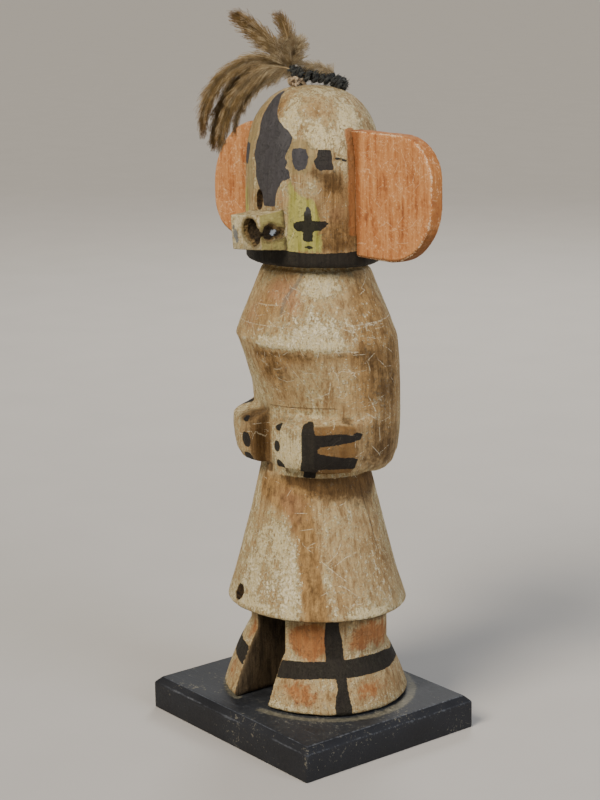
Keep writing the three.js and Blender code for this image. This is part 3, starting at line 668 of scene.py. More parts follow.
ochreMaterial = ochrePaint()
for earName, node, side in (("leftEar", "left_ear", 1), ("rightEar", "right_ear", -1)):
    ear = evenMesh(earName, node, ears["voxel"], ears["easing"])
    ageSurface(ear, 0.16, 0.06, 0.05, 11 + side)
    points, normals = meshShape(ear.data)
    low, high = (np.array(corner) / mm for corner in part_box(node))
    across = side * (points[:, 0] - dollAxis.x) / mm
    height = points[:, 2] / mm
    outward = np.hypot(normals[:, 0], normals[:, 2])
    edgeGap = np.abs(np.abs(points[:, 1] / mm - (low[1] + high[1]) / 2) - (high[1] - low[1]) / 2)
    lines = ears["arcs"] + knocks(46, (30, 192), (70, 238), 60 + side)
    scored, scoredNear = acrossLines(np.stack([across, height], 1), lines)
    onFace = np.clip(1.4 * np.abs(normals[:, 1]) - 0.4, 0, 1)
    # Painted shade on each ear's underside, and darker towards its bottom.
    paintedShadeBelow = np.clip(-normals[:, 2] * 1.5, 0, 1) + 0.5 * np.clip((low[2] + 8 - height) / 8, 0, 1)
    storeFields(ear.data, {
        "side": np.clip(1.6 * outward - 0.5, 0, 1) * (across > 30),
        "rim": np.exp(-((outward - 0.7) / 0.24) ** 2) * (edgeGap < 1.2),
        "root": np.exp(-((across - 28) / 4) ** 2), "low": paintedShadeBelow, "scored": scored,
        "scoredNear": scoredNear * onFace})
    finishPiece(ear, ochreMaterial, [node])


# Snout: a small block in chipped white and green paint, its broken corner showing fibrous wood. The deepest
# parts of the break are painted near black and the lower half of the block darker, as painted shade; the grime
# round the break is dirt.
snoutBlock = {"voxel": 0.34, "easing": 1, "halfWidth": 8.9, "front": 34, "halfHeight": 6.4, "rootHalfHeight": 8,
              "shift": 2.4, "middle": 187.7, "roll": 5,
              "blueSpots": [(-6.6, -0.6, 1.7), (-5.8, -2.6, 1.1), (-7.4, 1.8, 0.8)],
              "paleChip": {"spot": (7, -26.6, -0.6), "reach": (1.3, 1.8, 1.3)},
              "darkSplit": {"spot": (8.6, -22, -0.8), "reach": (1.4, 2.8, 0.9)}}


def snoutPaint():
    material, add, field, noises = startSurface("ChippedPaintOnCottonwood", (
        "broken", "deepShade", "greenSide", "whiteFace", "blueSpots", "paleChip", "darkSplit", "grimeAndLowShade"), (
            (perMm, 0.5, 7, 0.72), (perMm, 1.4, 4, 0.75), ((1000, 250, 1000), 1.3, 5, 0.7)))
    mottle, flakes, fibre = noises
    colour = layered(add, (
        (((mottle, 1),), (0, 1), 1, ("#8c774a", "#c6b78c"), mottle),
        (((field["greenSide"], 1), (mottle, 2)), (1.55, 1.95), 0.75, ("#87803a", "#aba35c"), fibre),
        (((field["whiteFace"], 1), (mottle, 2), (flakes, 1)), (2.0, 2.4), 0.8, ("#bfb58d", "#d9d1b0"), flakes),
        (((mottle, -1), (flakes, -0.8)), (-0.76, -0.68), 0.6, ("#4b3d22", "#6b5833"), fibre),
        # Grime round the break, and painted shade on the block's lower half.
        (((field["grimeAndLowShade"], 1), (mottle, 1.4)), (1.15, 1.6), 0.8, ("#3a2f1b", "#75643b"), fibre),
        (((field["blueSpots"], 1), (flakes, 0.8)), (0.9, 1.05), 0.85, ("#4d5359", "#6d7378"), flakes),
        (((field["broken"], 1), (flakes, 0.7)), (0.75, 0.95), 1, ("#3a2c19", "#8a7248"), fibre),
        # Painted shade deep in the hollow of the break.
        (((field["deepShade"], 1), (fibre, 1)), (0.95, 1.25), 0.9, ("#0f0c08", "#2b2115"), fibre),
        (((field["darkSplit"], 1), (flakes, 0.5)), (0.7, 0.9), 0.95, ("#100d09", "#241c12"), fibre),
        (((field["paleChip"], 1), (flakes, 0.5)), (0.75, 0.9), 0.95, ("#a9b6bf", "#d3dade"), flakes),
    ))[0]
    height = weighted(add, ((flakes, 0.8), (mottle, 0.8), (fibre, 0.5)))
    endSurface(add, colour, 0.86, 0.28, (height, 0.35))
    return material


snout = evenMesh("snoutBlock", "snout", snoutBlock["voxel"], snoutBlock["easing"])
points, normals = meshShape(snout.data)
origin = dollAxis + Vector((snoutBlock["shift"] * mm, 0, plinthTop + snoutBlock["middle"] * mm))
roll = math.radians(snoutBlock["roll"])
fromMiddle = (points - np.array(origin)) / mm
x = fromMiddle[:, 0] * math.cos(roll) + fromMiddle[:, 2] * math.sin(roll)
y = fromMiddle[:, 1]
z = fromMiddle[:, 2] * math.cos(roll) - fromMiddle[:, 0] * math.sin(roll)
taper = (snoutBlock["rootHalfHeight"] - snoutBlock["halfHeight"]) / (snoutBlock["front"] / 2)
halfHeight = snoutBlock["halfHeight"] + taper * (y + snoutBlock["front"])
sunk = np.minimum(np.minimum(snoutBlock["halfWidth"] - np.abs(x), y + snoutBlock["front"]),
                  halfHeight - np.abs(z))
inBreak = np.clip((sunk - 0.3) / 0.4, 0, 1)
torn = 0.7 * swells(fromMiddle * np.array([1.2, 0.4, 1.2]), 1.3, 21) + 0.4 * swells(fromMiddle, 0.7, 22)
depth = 0.16 * swells(fromMiddle, 4, 23) + 0.08 * swells(fromMiddle, 1.2, 24) + torn * inBreak
setPoints(snout.data, points + normals * (depth * mm)[:, None])
tornSpots = fromMiddle[inBreak > 0.6][::4]
toBreak = np.min([np.linalg.norm(fromMiddle - spot, axis=1) for spot in tornSpots], axis=0)
blueSpots = np.zeros(len(points))
for spotX, spotZ, reach in snoutBlock["blueSpots"]:
    blueSpots = np.maximum(blueSpots, 1 - 0.5 * np.hypot(x - spotX, (z - spotZ) / 1.5) / reach)
upward = np.clip(normals[:, 2], 0, 1)
# deepShade is painted shade in the hollow; grimeAndLowShade is grime near the break and painted shade below.
fields = {
    "broken": inBreak, "deepShade": np.clip((sunk - 1) / 1.6, 0, 1), "blueSpots": blueSpots * (normals[:, 1] < -0.4),
    "grimeAndLowShade": np.maximum(np.exp(-(toBreak / 2.2) ** 2), 0.6 * np.clip((-z - 1.5) / 2.5, 0, 1)),
    "greenSide": np.clip(np.abs(normals[:, 0]), 0, 1) * 0.95 + 0.3 * upward,
    "whiteFace": 0.7 * np.clip(-normals[:, 1], 0, 1) + 0.45 * upward}
for name in ("paleChip", "darkSplit"):
    spot, reach = (np.array(snoutBlock[name][key]) for key in ("spot", "reach"))
    fields[name] = 1.1 - 0.6 * np.linalg.norm((np.stack([x, y, z], 1) - spot) / reach, axis=1)
storeFields(snout.data, fields)
finishPiece(snout, snoutPaint(), ["snout"])


# Plinth: a sawn hardwood board, bevelled above, in black satin paint that has scuffed and gathered dust. Its
# top is painted a paler blue-grey, partly dust and partly painted reflection, and its bevels carry a thin
# painted highlight.
board = {"edgeRound": 0.45, "cut": 1.4}


def plinthPaint():
    material, add, field, noises = startSurface("SatinBlackPaintOnHardwood", ("up", "edge", "residue"), (
        (perMm, 0.045, 5, 0.6), (perMm, 0.7, 6, 0.75), ((120, 1000, 1000), 0.6, 4, 0.6)))
    cloudy, fine, scuffs = noises
    colour = layered(add, (
        (((cloudy, 1),), (0, 1), 1, ("#121317", "#1d1f24"), cloudy),
        # The top painted paler: dust, and painted reflection of the light.
        (((field["up"], 1), (cloudy, 0.9), (fine, 0.3)), (1.35, 1.75), 0.5, ("#34373a", "#484b4d"), fine),
        (((field["up"], 1), (scuffs, 1)), (1.6, 1.7), 0.3, ("#565b60", "#686d72"), fine),
        (((field["residue"], 1), (fine, 1.2)), (0.9, 1.6), 0.6, ("#5d5a49", "#8c8670"), fine),
        # Painted highlight along the bevels, mixed with scuffs.
        (((field["edge"], 0.6), (scuffs, 0.7), (fine, 0.4)), (0.95, 1.15), 0.5, ("#4c5056", "#6f747b"), fine),
        (((fine, 1), (cloudy, 0.5)), (0.87, 0.91), 0.5, ("#6a675a", "#97917c"), scuffs),
    ))[0]
    rough = add("ShaderNodeMapRange", {"Value": weighted(add, ((cloudy, 0.5), (fine, 0.5))),
                                       "From Min": 0.38, "From Max": 0.62, "To Min": 0.5, "To Max": 0.72})
    endSurface(add, colour, rough, 0.4, (weighted(add, ((fine, 0.6), (scuffs, 1))), 0.1))
    return material


def makePlinth():
    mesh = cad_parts["plinth"].data.copy()
    work = bmesh.new()
    work.from_mesh(mesh)
    bmesh.ops.remove_doubles(work, verts=work.verts, dist=1e-6)
    bmesh.ops.dissolve_limit(work, angle_limit=0.02, verts=work.verts, edges=work.edges)
    bmesh.ops.bevel(work, geom=work.edges, offset=board["edgeRound"] * mm, segments=3, profile=0.5,
                    affect="EDGES", clamp_overlap=True)
    for axis in (0, 1):
        normal = Vector((1 - axis, axis, 0))
        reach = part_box("plinth")[1][axis]
        steps = int(reach / (board["cut"] * mm))
        for step in range(-steps, steps + 1):
            bmesh.ops.bisect_plane(work, geom=work.verts[:] + work.edges[:] + work.faces[:],
                                   plane_co=normal * (step * board["cut"] * mm), plane_no=normal)
    bmesh.ops.triangulate(work, faces=work.faces)
    work.to_mesh(mesh)
    work.free()
    piece = newObject("plinthBoard", mesh)
    mesh.shade_smooth()
    points, normals = meshShape(mesh)
    _, height, x, y = wrapCoordinates(points)
    reach = np.array(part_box("plinth")[1]) / mm
    fromEdge = np.stack([reach[0] - np.abs(points[:, 0]) / mm, reach[1] - np.abs(points[:, 1]) / mm], 1).min(1)
    below = plinthTop / mm - height
    # Where the painted highlight runs along the bevels.
    bevelHighlight = np.exp(-((fromEdge - 2.5) / 0.5) ** 2) * (below < 0.3)
    bevelHighlight += 0.8 * np.exp(-((fromEdge - 0.2) / 0.4) ** 2) * (below < 3.4)
    foot = (np.hypot(x / 39, y / np.where(y < 0, 34, 35.5)) - 1) * 34
    residue = np.exp(-((foot - 0.5) / 1.5) ** 2) * (np.abs(x + 1.5) > 7) + 0.3 * np.exp(-(foot / 5) ** 2)
    storeFields(mesh, {"up": np.clip(normals[:, 2] * 2 - 1, 0, 1), "edge": bevelHighlight,
                       "residue": residue * (below < 1)})
    return piece


finishPiece(makePlinth(), plinthPaint(), ["plinth"])


# The tuft lies in an upright plane over the crown: run goes forward and to the doll's right.
tuft = {"heading": math.atan2(-0.66, -0.75), "wrapPoints": [(-13.2, 239.4), (-6.5, 242.3), (0.5, 243.5), (8.8,
    246.2)],
        "quillSpacing": 1.25}


def tuftPoint(run, height, aside=0.0):
    along = Vector((math.cos(tuft["heading"]), math.sin(tuft["heading"]), 0))
    across = Vector((-along.y, along.x, 0))
    return dollAxis + (along * run + across * aside) * mm + Vector((0, 0, plinthTop + height * mm))


# A smooth path through points, as evenly spaced points.
def smoothPath(corners, count):
    ends = [corners[0] * 2 - corners[1]] + list(corners) + [corners[-1] * 2 - corners[-2]]
    dense = []
    for i in range(1, len(ends) - 2):
        a, b, c, d = ends[i - 1:i + 3]
        for step in range(24):
            t = step / 24
            dense.append(0.5 * (2 * b + (c - a) * t + (2 * a - 5 * b + 4 * c - d) * t * t
                                + (3 * b - a - 3 * c + d) * t ** 3))
    dense.append(ends[-2])
    lengths = np.cumsum([0] + [(q - p).length for p, q in zip(dense, dense[1:])])
    targets = np.linspace(0, lengths[-1], count)
    axes = [np.interp(targets, lengths, [p[k] for p in dense]) for k in range(3)]
    return [Vector(p) for p in zip(*axes)]


wrapPath = smoothPath([tuftPoint(run, height) for run, height in tuft["wrapPoints"]], 120)
wrapForward = (wrapPath[-1] - wrapPath[-3]).normalized()
tuftAcross = (tuftPoint(0, 0, 1) - tuftPoint(0, 0, 0)).normalized()
wrapUp = tuftAcross.cross(wrapForward)
if wrapUp.z < 0:
    wrapUp.negate()


def curveObject(name, paths):
    curve = bpy.data.curves.new(name, "CURVE")
    curve.dimensions = "3D"
    for path in paths:
        spline = curve.splines.new("POLY")
        spline.points.add(len(path) - 1)
        for point, place in zip(spline.points, path):
            point.co = (*place, 1)
    return newObject(name, curve)


# A node tree with one geometry in and out and the named inputs given as (name, kind, default).
def newGeometryTree(name, sizes):
    tree = bpy.data.node_groups.new(name, "GeometryNodeTree")
    tree.interface.new_socket("Geometry", in_out="INPUT", socket_type="NodeSocketGeometry")
    tree.interface.new_socket("Geometry", in_out="OUTPUT", socket_type="NodeSocketGeometry")
    for label, kind, default in sizes:
        socket = tree.interface.new_socket(label, in_out="INPUT", socket_type=kind)
        if default is not None:
            socket.default_value = default
    given = tree.nodes.new("NodeGroupInput").outputs
    return tree, functools.partial(addNode, tree), given, tree.nodes.new("NodeGroupOutput")


# Runs a tree on an object with these inputs, then leaves only the plain mesh.
def grow(piece, tree, values):
    modifier = piece.modifiers.new(tree.name, "NODES")
    modifier.node_group = tree
    for item in tree.interface.items_tree:
        if item.item_type == "SOCKET" and item.in_out == "INPUT" and item.name in values:
            modifier[item.identifier] = values[item.name]
    return settle(piece)


# Coarse two-ply cord, hand-spun: each turn is twisted, and loose fibres stand out of it.
def pliedYarnTree():
    tree, add, given, result = newGeometryTree("pliedYarn", [
        ("Ply Radius", "NodeSocketFloat", 0.4 * mm), ("Twist Per Metre", "NodeSocketFloat", 900.0),
        ("Fibre Length", "NodeSocketFloat", 2.2 * mm), ("Fibre Spacing", "NodeSocketFloat", 0.5 * mm),
        ("Fibre Radius", "NodeSocketFloat", 0.028), ("Seed", "NodeSocketInt", 4),
        ("Yarn", "NodeSocketMaterial", None)])
    length = add("GeometryNodeSplineParameter").outputs["Length"]
    tilt = add("ShaderNodeMath", [length, given["Twist Per Metre"]], operation="MULTIPLY")
    twisted = add("GeometryNodeSetCurveTilt", {"Curve": given["Geometry"], "Tilt": tilt})
    body = add("GeometryNodeJoinGeometry")
    for turn in (0, math.pi):
        ring = add("GeometryNodeCurvePrimitiveCircle", {"Resolution": 7, "Radius": given["Ply Radius"]},
                   mode="RADIUS")
        offset = add("ShaderNodeMath", [given["Ply Radius"], 0.85 * math.cos(turn)], operation="MULTIPLY")
        moved = add("GeometryNodeTransform", {"Geometry": ring, "Translation": add("ShaderNodeCombineXYZ",
            {"X": offset})})
        cord = add("GeometryNodeCurveToMesh", {"Curve": twisted, "Profile Curve": moved, "Fill Caps": True})
        tree.links.new(cord.outputs[0], body.inputs[0])
    roots = add("GeometryNodeResampleCurve", {"Curve": given["Geometry"], "Length": given["Fibre Spacing"]},
                mode="LENGTH")
    hair = add("GeometryNodeCurveQuadraticBezier", {
        "Resolution": 5, "Start": (0, 0, 0), "Middle": (0.55, 0.0, 0.05), "End": (0.75, 0.35, 0.55)})
    ring = add("GeometryNodeCurvePrimitiveCircle", {"Resolution": 3, "Radius": given["Fibre Radius"]},
               mode="RADIUS")
    hairMesh = add("GeometryNodeCurveToMesh", {"Curve": hair, "Profile Curve": ring, "Fill Caps": True})
    turned = add("FunctionNodeRandomValue", {"Min": (-3.14, -3.14, -3.14), "Max": (3.14, 3.14, 3.14),
                                             "Seed": given["Seed"]}, data_type="FLOAT_VECTOR")
    sized = add("FunctionNodeRandomValue", {"Min": 0.35, "Max": 1.0, "Seed": given["Seed"]}, data_type="FLOAT")
    size = add("ShaderNodeMath", [sized, given["Fibre Length"]], operation="MULTIPLY")
    hairs = add("GeometryNodeInstanceOnPoints", {"Points": roots, "Instance": hairMesh, "Rotation": turned,
                                                 "Scale": size})
    tree.links.new(hairs.outputs[0], body.inputs[0])
    real = add("GeometryNodeRealizeInstances", {"Geometry": body})
    smooth = add("GeometryNodeSetShadeSmooth", {"Geometry": real})
    done = add("GeometryNodeSetMaterial", {"Geometry": smooth, "Material": given["Yarn"]})
    tree.links.new(done.outputs[0], result.inputs[0])
    return tree


def fibreMaterial(name, dark, light, scale, roughness, sheen):
    material, add, _, (tufts, fine) = startSurface(name, (), ((perMm, scale, 5, 0.7), (perMm, scale * 4, 2,
        0.5)))
    share = add("ShaderNodeMapRange", {"Value": tufts, "From Min": 0.38, "From Max": 0.64})
    colour = add("ShaderNodeMix", [share, dark, light], data_type="RGBA")
    endSurface(add, colour, roughness, 0.25, (fine, 0.12), {"Sheen Weight": sheen, "Sheen Roughness": 0.5})
    return material


# Hand-spun wool yarn: dull, hairy, black to charcoal with dusty greys. Three strands wound unevenly.
yarn = {"turns": (9.3, -7.6, 2.2), "layRadius": (1.65, 1.55, 0.6), "drift": 0.5, "plyRadius": 0.54,
        "fibreLength": 1.9,
        "fibreSpacing": 0.05}


def yarnPath(turns, layRadius, seed):
    places = []
    steps = 420
    rng = np.random.default_rng(seed)
    knots = np.linspace(0, 1, 26)
    drift = np.interp(np.linspace(0, 1, steps), knots, rng.uniform(-yarn["drift"], yarn["drift"], 26))
    slip = np.interp(np.linspace(0, 1, steps), knots, rng.uniform(-0.02, 0.02, 26))
    for step in range(steps):
        share = min(1, max(0, step / (steps - 1) + slip[step]))
        index = share * (len(wrapPath) - 1)
        low = min(int(index), len(wrapPath) - 2)
        centre = wrapPath[low].lerp(wrapPath[low + 1], index - low)
        forward = (wrapPath[min(low + 2, len(wrapPath) - 1)] - wrapPath[max(low - 1, 0)]).normalized()
        up = tuftAcross.cross(forward).normalized()
        angle = step / (steps - 1) * turns * 2 * math.pi
        ends = min(1, 0.5 + 7 * min(share, 1 - share))
        radius = (layRadius + drift[step]) * ends * mm
        places.append(centre + (tuftAcross * math.cos(angle) + up * math.sin(angle)) * radius)
    return smoothPath(places[::3], 520)


woolMaterial = fibreMaterial("HandSpunWoolYarn", "#0e0f0f", "#3f413c", 0.8, 0.95, 0.2)
yarnTree = pliedYarnTree()
strands = [yarnPath(turns, lay, seed) for turns, lay, seed in zip(yarn["turns"], yarn["layRadius"], (7, 8, 9))]
wrapPiece = grow(curveObject("yarnBinding", strands), yarnTree, {
    "Ply Radius": yarn["plyRadius"] * mm, "Twist Per Metre": 1500.0, "Fibre Length": yarn["fibreLength"] * mm,
    "Fibre Spacing": yarn["fibreSpacing"] * mm, "Seed": 4, "Yarn": woolMaterial})
finishPiece(wrapPiece, woolMaterial, ["yarn_wrap"])


# The knot of thong: a few tan loops pulled down on the crown, gone woolly.
knot = {"loops": 5, "thongRadius": 0.42, "fibreLength": 1.6, "fibreSpacing": 0.1}
thongMaterial = fibreMaterial("DryHideThong", "#6d5a45", "#c4b192", 0.7, 0.88, 0.1)


def knotPath():
    low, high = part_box("tie_knot")
    middle = (low + high) / 2
    reach = (high - low) / 2 * 0.8
    places = []
    for step in range(150):
        turn = step / 149 * 2 * math.pi * knot["loops"]
        places.append(middle + Vector((reach.x * math.cos(turn), reach.y * math.sin(turn * 1.37),
                                       reach.z * math.sin(turn * 1.83 + 0.6))))
    return places


knotPiece = grow(curveObject("thongKnot", [knotPath()]), yarnTree, {
    "Ply Radius": knot["thongRadius"] * mm, "Twist Per Metre": 200.0, "Fibre Length": knot["fibreLength"] * mm,
    "Fibre Spacing": knot["fibreSpacing"] * mm, "Seed": 9, "Yarn": thongMaterial})
finishPiece(knotPiece, thongMaterial, ["tie_knot"])


# Downy body feathers, faded brown: a thin shaft, and hair-fine barbs that lie towards the tip and cling in
# locks, short and pale at the root and fraying dark at the end.
feathers = {
    "feather_1": {"seat": (0, 0), "bend": [(11, 8), (31, 1), (33, -21)], "barb": 7.6, "fan": 0},
    "feather_2": {"seat": (-1, 0), "bend": [(10, 5), (27, -3), (30.5, -27)], "barb": 7, "fan": -8},
    "feather_3": {"seat": (1, 0), "bend": [(9, 2), (22, -5), (25.5, -27)], "barb": 6.6, "fan": 8},
    "feather_4": {"seat": (-0.5, -0.87), "bend": [(7, 0.5), (14, -1.5), (19, -9.5)], "barb": 7.4, "fan": -3},
    "feather_5": {"seat": (0.5, -0.87), "bend": [(8, -2), (17, -7), (20, -20.5)], "barb": 4.5, "fan": 3},
    "feather_6": {"seat": (0.5, 0.87), "bend": [(4, 6), (10, 12), (18, 19)], "barb": 9.4, "fan": 4},
    "feather_7": {"seat": (-0.5, 0.87), "bend": [(-1, 6), (0, 12), (3, 18.3)], "barb": 8, "fan": -4},
}


def featherPath(shape):
    aside, rise = (s * tuft["quillSpacing"] * mm for s in shape["seat"])
    seat = tuftAcross * aside + wrapUp * rise
    mouth = wrapPath[-1] + seat + wrapForward * 0.5 * mm
    turn = math.radians(shape["fan"])
    zero = tuftPoint(0, 0, 0)
    corners = [mouth] + [mouth + tuftPoint(reach * math.cos(turn), height, reach * math.sin(turn)) - zero
                         for reach, height in shape["bend"]]
    places = [wrapPath[int(0.62 * 119)] + seat, wrapPath[int(0.8 * 119)] + seat]
    for step in range(40):
        t = step / 39
        a, b, c, d = corners
        places.append(a * (1 - t) ** 3 + b * 3 * t * (1 - t) ** 2 + c * 3 * t * t * (1 - t) + d * t ** 3)
    return places


# Barbs stand on the shaft at even spacing, left and right by turns, each leaning towards the tip. Points
# then drift with their neighbours, so that barbs gather in locks, and crimp a little on the way.
def downTree():
    tree, add, given, result = newGeometryTree("downyFeather", [
        ("Barb Spacing", "NodeSocketFloat", 0.013 * mm), ("Barb Length", "NodeSocketFloat", 9 * mm),
        ("Barb Radius", "NodeSocketFloat", 0.006), ("Lean", "NodeSocketFloat", 0.85), ("Loose",
            "NodeSocketFloat", 0.9),
        ("Lock Size", "NodeSocketFloat", 1.7 * mm), ("Lock Drift", "NodeSocketFloat", 5.5 * mm),
        ("Droop", "NodeSocketFloat", 2 * mm), ("Shaft Radius", "NodeSocketFloat", 0.3 * mm),
        ("Bare Quill", "NodeSocketFloat", 0.1), ("Seed", "NodeSocketInt", 1), ("Down", "NodeSocketMaterial",
            None)])
    spine = add("GeometryNodeResampleCurve", {"Curve": given["Geometry"], "Length": given["Barb Spacing"]},
                mode="LENGTH")
    share = add("GeometryNodeSplineParameter").outputs["Factor"]
    tangent = add("GeometryNodeInputTangent")
    seeds = [add("ShaderNodeMath", [given["Seed"], salt * 100], operation="ADD") for salt in range(5)]
    side = add("ShaderNodeMath", [add("GeometryNodeInputIndex"), 2.0], operation="MODULO")
    loose = add("FunctionNodeRandomValue", {"Min": -1.0, "Max": 1.0, "Seed": seeds[0]}, data_type="FLOAT")
    roll = add("ShaderNodeMath", [side, math.pi, math.pi / 2], operation="MULTIPLY_ADD")
    roll = add("ShaderNodeMath", [loose, given["Loose"], roll], operation="MULTIPLY_ADD")
    outward = add("ShaderNodeVectorRotate", {"Vector": add("GeometryNodeInputNormal"), "Axis": tangent,
                                             "Angle": roll},
                  rotation_type="AXIS_ANGLE")
    stray = add("FunctionNodeRandomValue", {"Min": -0.22, "Max": 0.22, "Seed": seeds[1]}, data_type="FLOAT")
    lean = add("ShaderNodeMath", [share, 0.3, given["Lean"]], operation="MULTIPLY_ADD")
    lean = add("ShaderNodeMath", [lean, stray], operation="ADD")
    across = add("ShaderNodeVectorMath", {"Vector": outward, "Scale": add("ShaderNodeMath", [lean],
        operation="COSINE")},
                 operation="SCALE")
    onward = add("ShaderNodeVectorMath", {"Vector": tangent, "Scale": add("ShaderNodeMath", [lean],
        operation="SINE")},
                 operation="SCALE")
    heading = add("ShaderNodeVectorMath", [across, onward], operation="ADD")
    facing = add("FunctionNodeAxesToRotation", {"Primary Axis": heading, "Secondary Axis": tangent},
                 primary_axis="X", secondary_axis="Y")
    opened = add("ShaderNodeMath", [given["Bare Quill"], 0.2], operation="ADD")
    opening = add("ShaderNodeMapRange", {"Value": share, "From Min": given["Bare Quill"], "From Max": opened},
                  interpolation_type="SMOOTHSTEP")
    closing = add("ShaderNodeMapRange", {"Value": share, "From Min": 0.72, "From Max": 1.05, "To Min": 1.0,
                                         "To Max": 0.5},
                  interpolation_type="SMOOTHSTEP")
    sized = add("FunctionNodeRandomValue", {"Min": 0.5, "Max": 1.1, "Seed": seeds[2]}, data_type="FLOAT")
    length = add("ShaderNodeMath", [opening, closing], operation="MULTIPLY")
    length = add("ShaderNodeMath", [length, given["Barb Length"]], operation="MULTIPLY")
    length = add("ShaderNodeMath", [length, sized], operation="MULTIPLY")

    barb = add("GeometryNodeCurveQuadraticBezier", {
        "Resolution": 5, "Start": (0, 0, 0), "Middle": (0.55, 0.02, 0), "End": (1, 0.24, 0)})
    barbShare = add("GeometryNodeSplineParameter").outputs["Factor"]
    barb = add("GeometryNodeStoreNamedAttribute", {"Geometry": barb, "Name": "along", "Value": barbShare},
               data_type="FLOAT", domain="POINT")
    taper = add("ShaderNodeMath", [barbShare, -0.6, 1.0], operation="MULTIPLY_ADD")
    barb = add("GeometryNodeSetCurveRadius", {"Curve": barb, "Radius": taper})
    ring = add("GeometryNodeCurvePrimitiveCircle", {"Resolution": 3, "Radius": given["Barb Radius"]},
               mode="RADIUS")
    barbMesh = add("GeometryNodeCurveToMesh", {"Curve": barb, "Profile Curve": ring, "Fill Caps": True})
    longEnough = add("FunctionNodeCompare", [length, 0.4 * mm], data_type="FLOAT", operation="GREATER_THAN")
    rooted = add("GeometryNodeStoreNamedAttribute", {
        "Geometry": spine, "Name": "root", "Value": add("GeometryNodeInputPosition")}, data_type="FLOAT_VECTOR",
        domain="POINT")
    rooted = add("GeometryNodeStoreNamedAttribute", {"Geometry": rooted, "Name": "reach", "Value": share},
                 data_type="FLOAT", domain="POINT")
    rooted = add("GeometryNodeStoreNamedAttribute", {"Geometry": rooted, "Name": "side", "Value": side},
                 data_type="FLOAT", domain="POINT")
    barbs = add("GeometryNodeInstanceOnPoints", {"Points": rooted, "Selection": longEnough,
                                                 "Instance": barbMesh,
                                                 "Rotation": facing, "Scale": length})
    tone = add("FunctionNodeRandomValue", {"Min": 0.0, "Max": 1.0, "Seed": seeds[3]}, data_type="FLOAT")
    barbs = add("GeometryNodeStoreNamedAttribute", {"Geometry": barbs, "Name": "tone", "Value": tone},
                data_type="FLOAT", domain="INSTANCE")
    barbs = add("GeometryNodeRealizeInstances", {"Geometry": barbs})
    alongBarb = add("GeometryNodeInputNamedAttribute", {"Name": "along"}, data_type="FLOAT")
    root = add("GeometryNodeInputNamedAttribute", {"Name": "root"}, data_type="FLOAT_VECTOR")
    perLock = add("ShaderNodeMath", [1.0, given["Lock Size"]], operation="DIVIDE")
    onSide = add("GeometryNodeInputNamedAttribute", {"Name": "side"}, data_type="FLOAT")
    apart = add("ShaderNodeVectorMath", {"Vector": (0.05, 0.02, 0.03), "Scale": onSide}, operation="SCALE")
    rootPlace = add("ShaderNodeVectorMath", [root, apart], operation="ADD")
    locks = add("ShaderNodeTexNoise", {"Vector": rootPlace, "Scale": perLock, "Detail": 2.0}).outputs["Color"]
    locks = add("ShaderNodeVectorMath", [locks, (0.5, 0.5, 0.5)], operation="SUBTRACT")
    bent = add("ShaderNodeMath", [alongBarb, 1.5], operation="POWER")
    drift = add("ShaderNodeVectorMath", {"Vector": locks, "Scale": add(
        "ShaderNodeMath", [bent, given["Lock Drift"]], operation="MULTIPLY")}, operation="SCALE")
    place = add("GeometryNodeInputPosition")
    crimp = add("ShaderNodeTexNoise", {"Vector": place, "Scale": 1 / (1.1 * mm),
                                       "Detail": 1.0}).outputs["Color"]
    crimp = add("ShaderNodeVectorMath", [crimp, (0.5, 0.5, 0.5)], operation="SUBTRACT")
    crimp = add("ShaderNodeVectorMath", {"Vector": crimp, "Scale": add(
        "ShaderNodeMath", [alongBarb, 1.6 * mm], operation="MULTIPLY")}, operation="SCALE")
    sag = add("ShaderNodeMath", [add("ShaderNodeMath", [bent, given["Droop"]], operation="MULTIPLY"), -1.0],
              operation="MULTIPLY")
    moved = add("ShaderNodeVectorMath", [drift, crimp], operation="ADD")
    moved = add("ShaderNodeVectorMath", [moved, add("ShaderNodeCombineXYZ", {"Z": sag})], operation="ADD")
    barbs = add("GeometryNodeSetPosition", {"Geometry": barbs, "Offset": moved})

    shaftRing = add("GeometryNodeCurvePrimitiveCircle", {"Resolution": 6, "Radius": given["Shaft Radius"]},
                    mode="RADIUS")
    shaftShare = add("GeometryNodeSplineParameter").outputs["Factor"]
    shaftTaper = add("ShaderNodeMath", [shaftShare, -0.75, 1.0], operation="MULTIPLY_ADD")
    shaftCurve = add("GeometryNodeSetCurveRadius", {"Curve": given["Geometry"], "Radius": shaftTaper})
    shaft = add("GeometryNodeCurveToMesh", {"Curve": shaftCurve, "Profile Curve": shaftRing, "Fill Caps": True})
    whole = add("GeometryNodeJoinGeometry")
    for part in (barbs, shaft):
        tree.links.new(part.outputs[0], whole.inputs[0])
    real = add("GeometryNodeRealizeInstances", {"Geometry": whole})
    done = add("GeometryNodeSetMaterial", {"Geometry": real, "Material": given["Down"]})
    tree.links.new(done.outputs[0], result.inputs[0])
    return tree


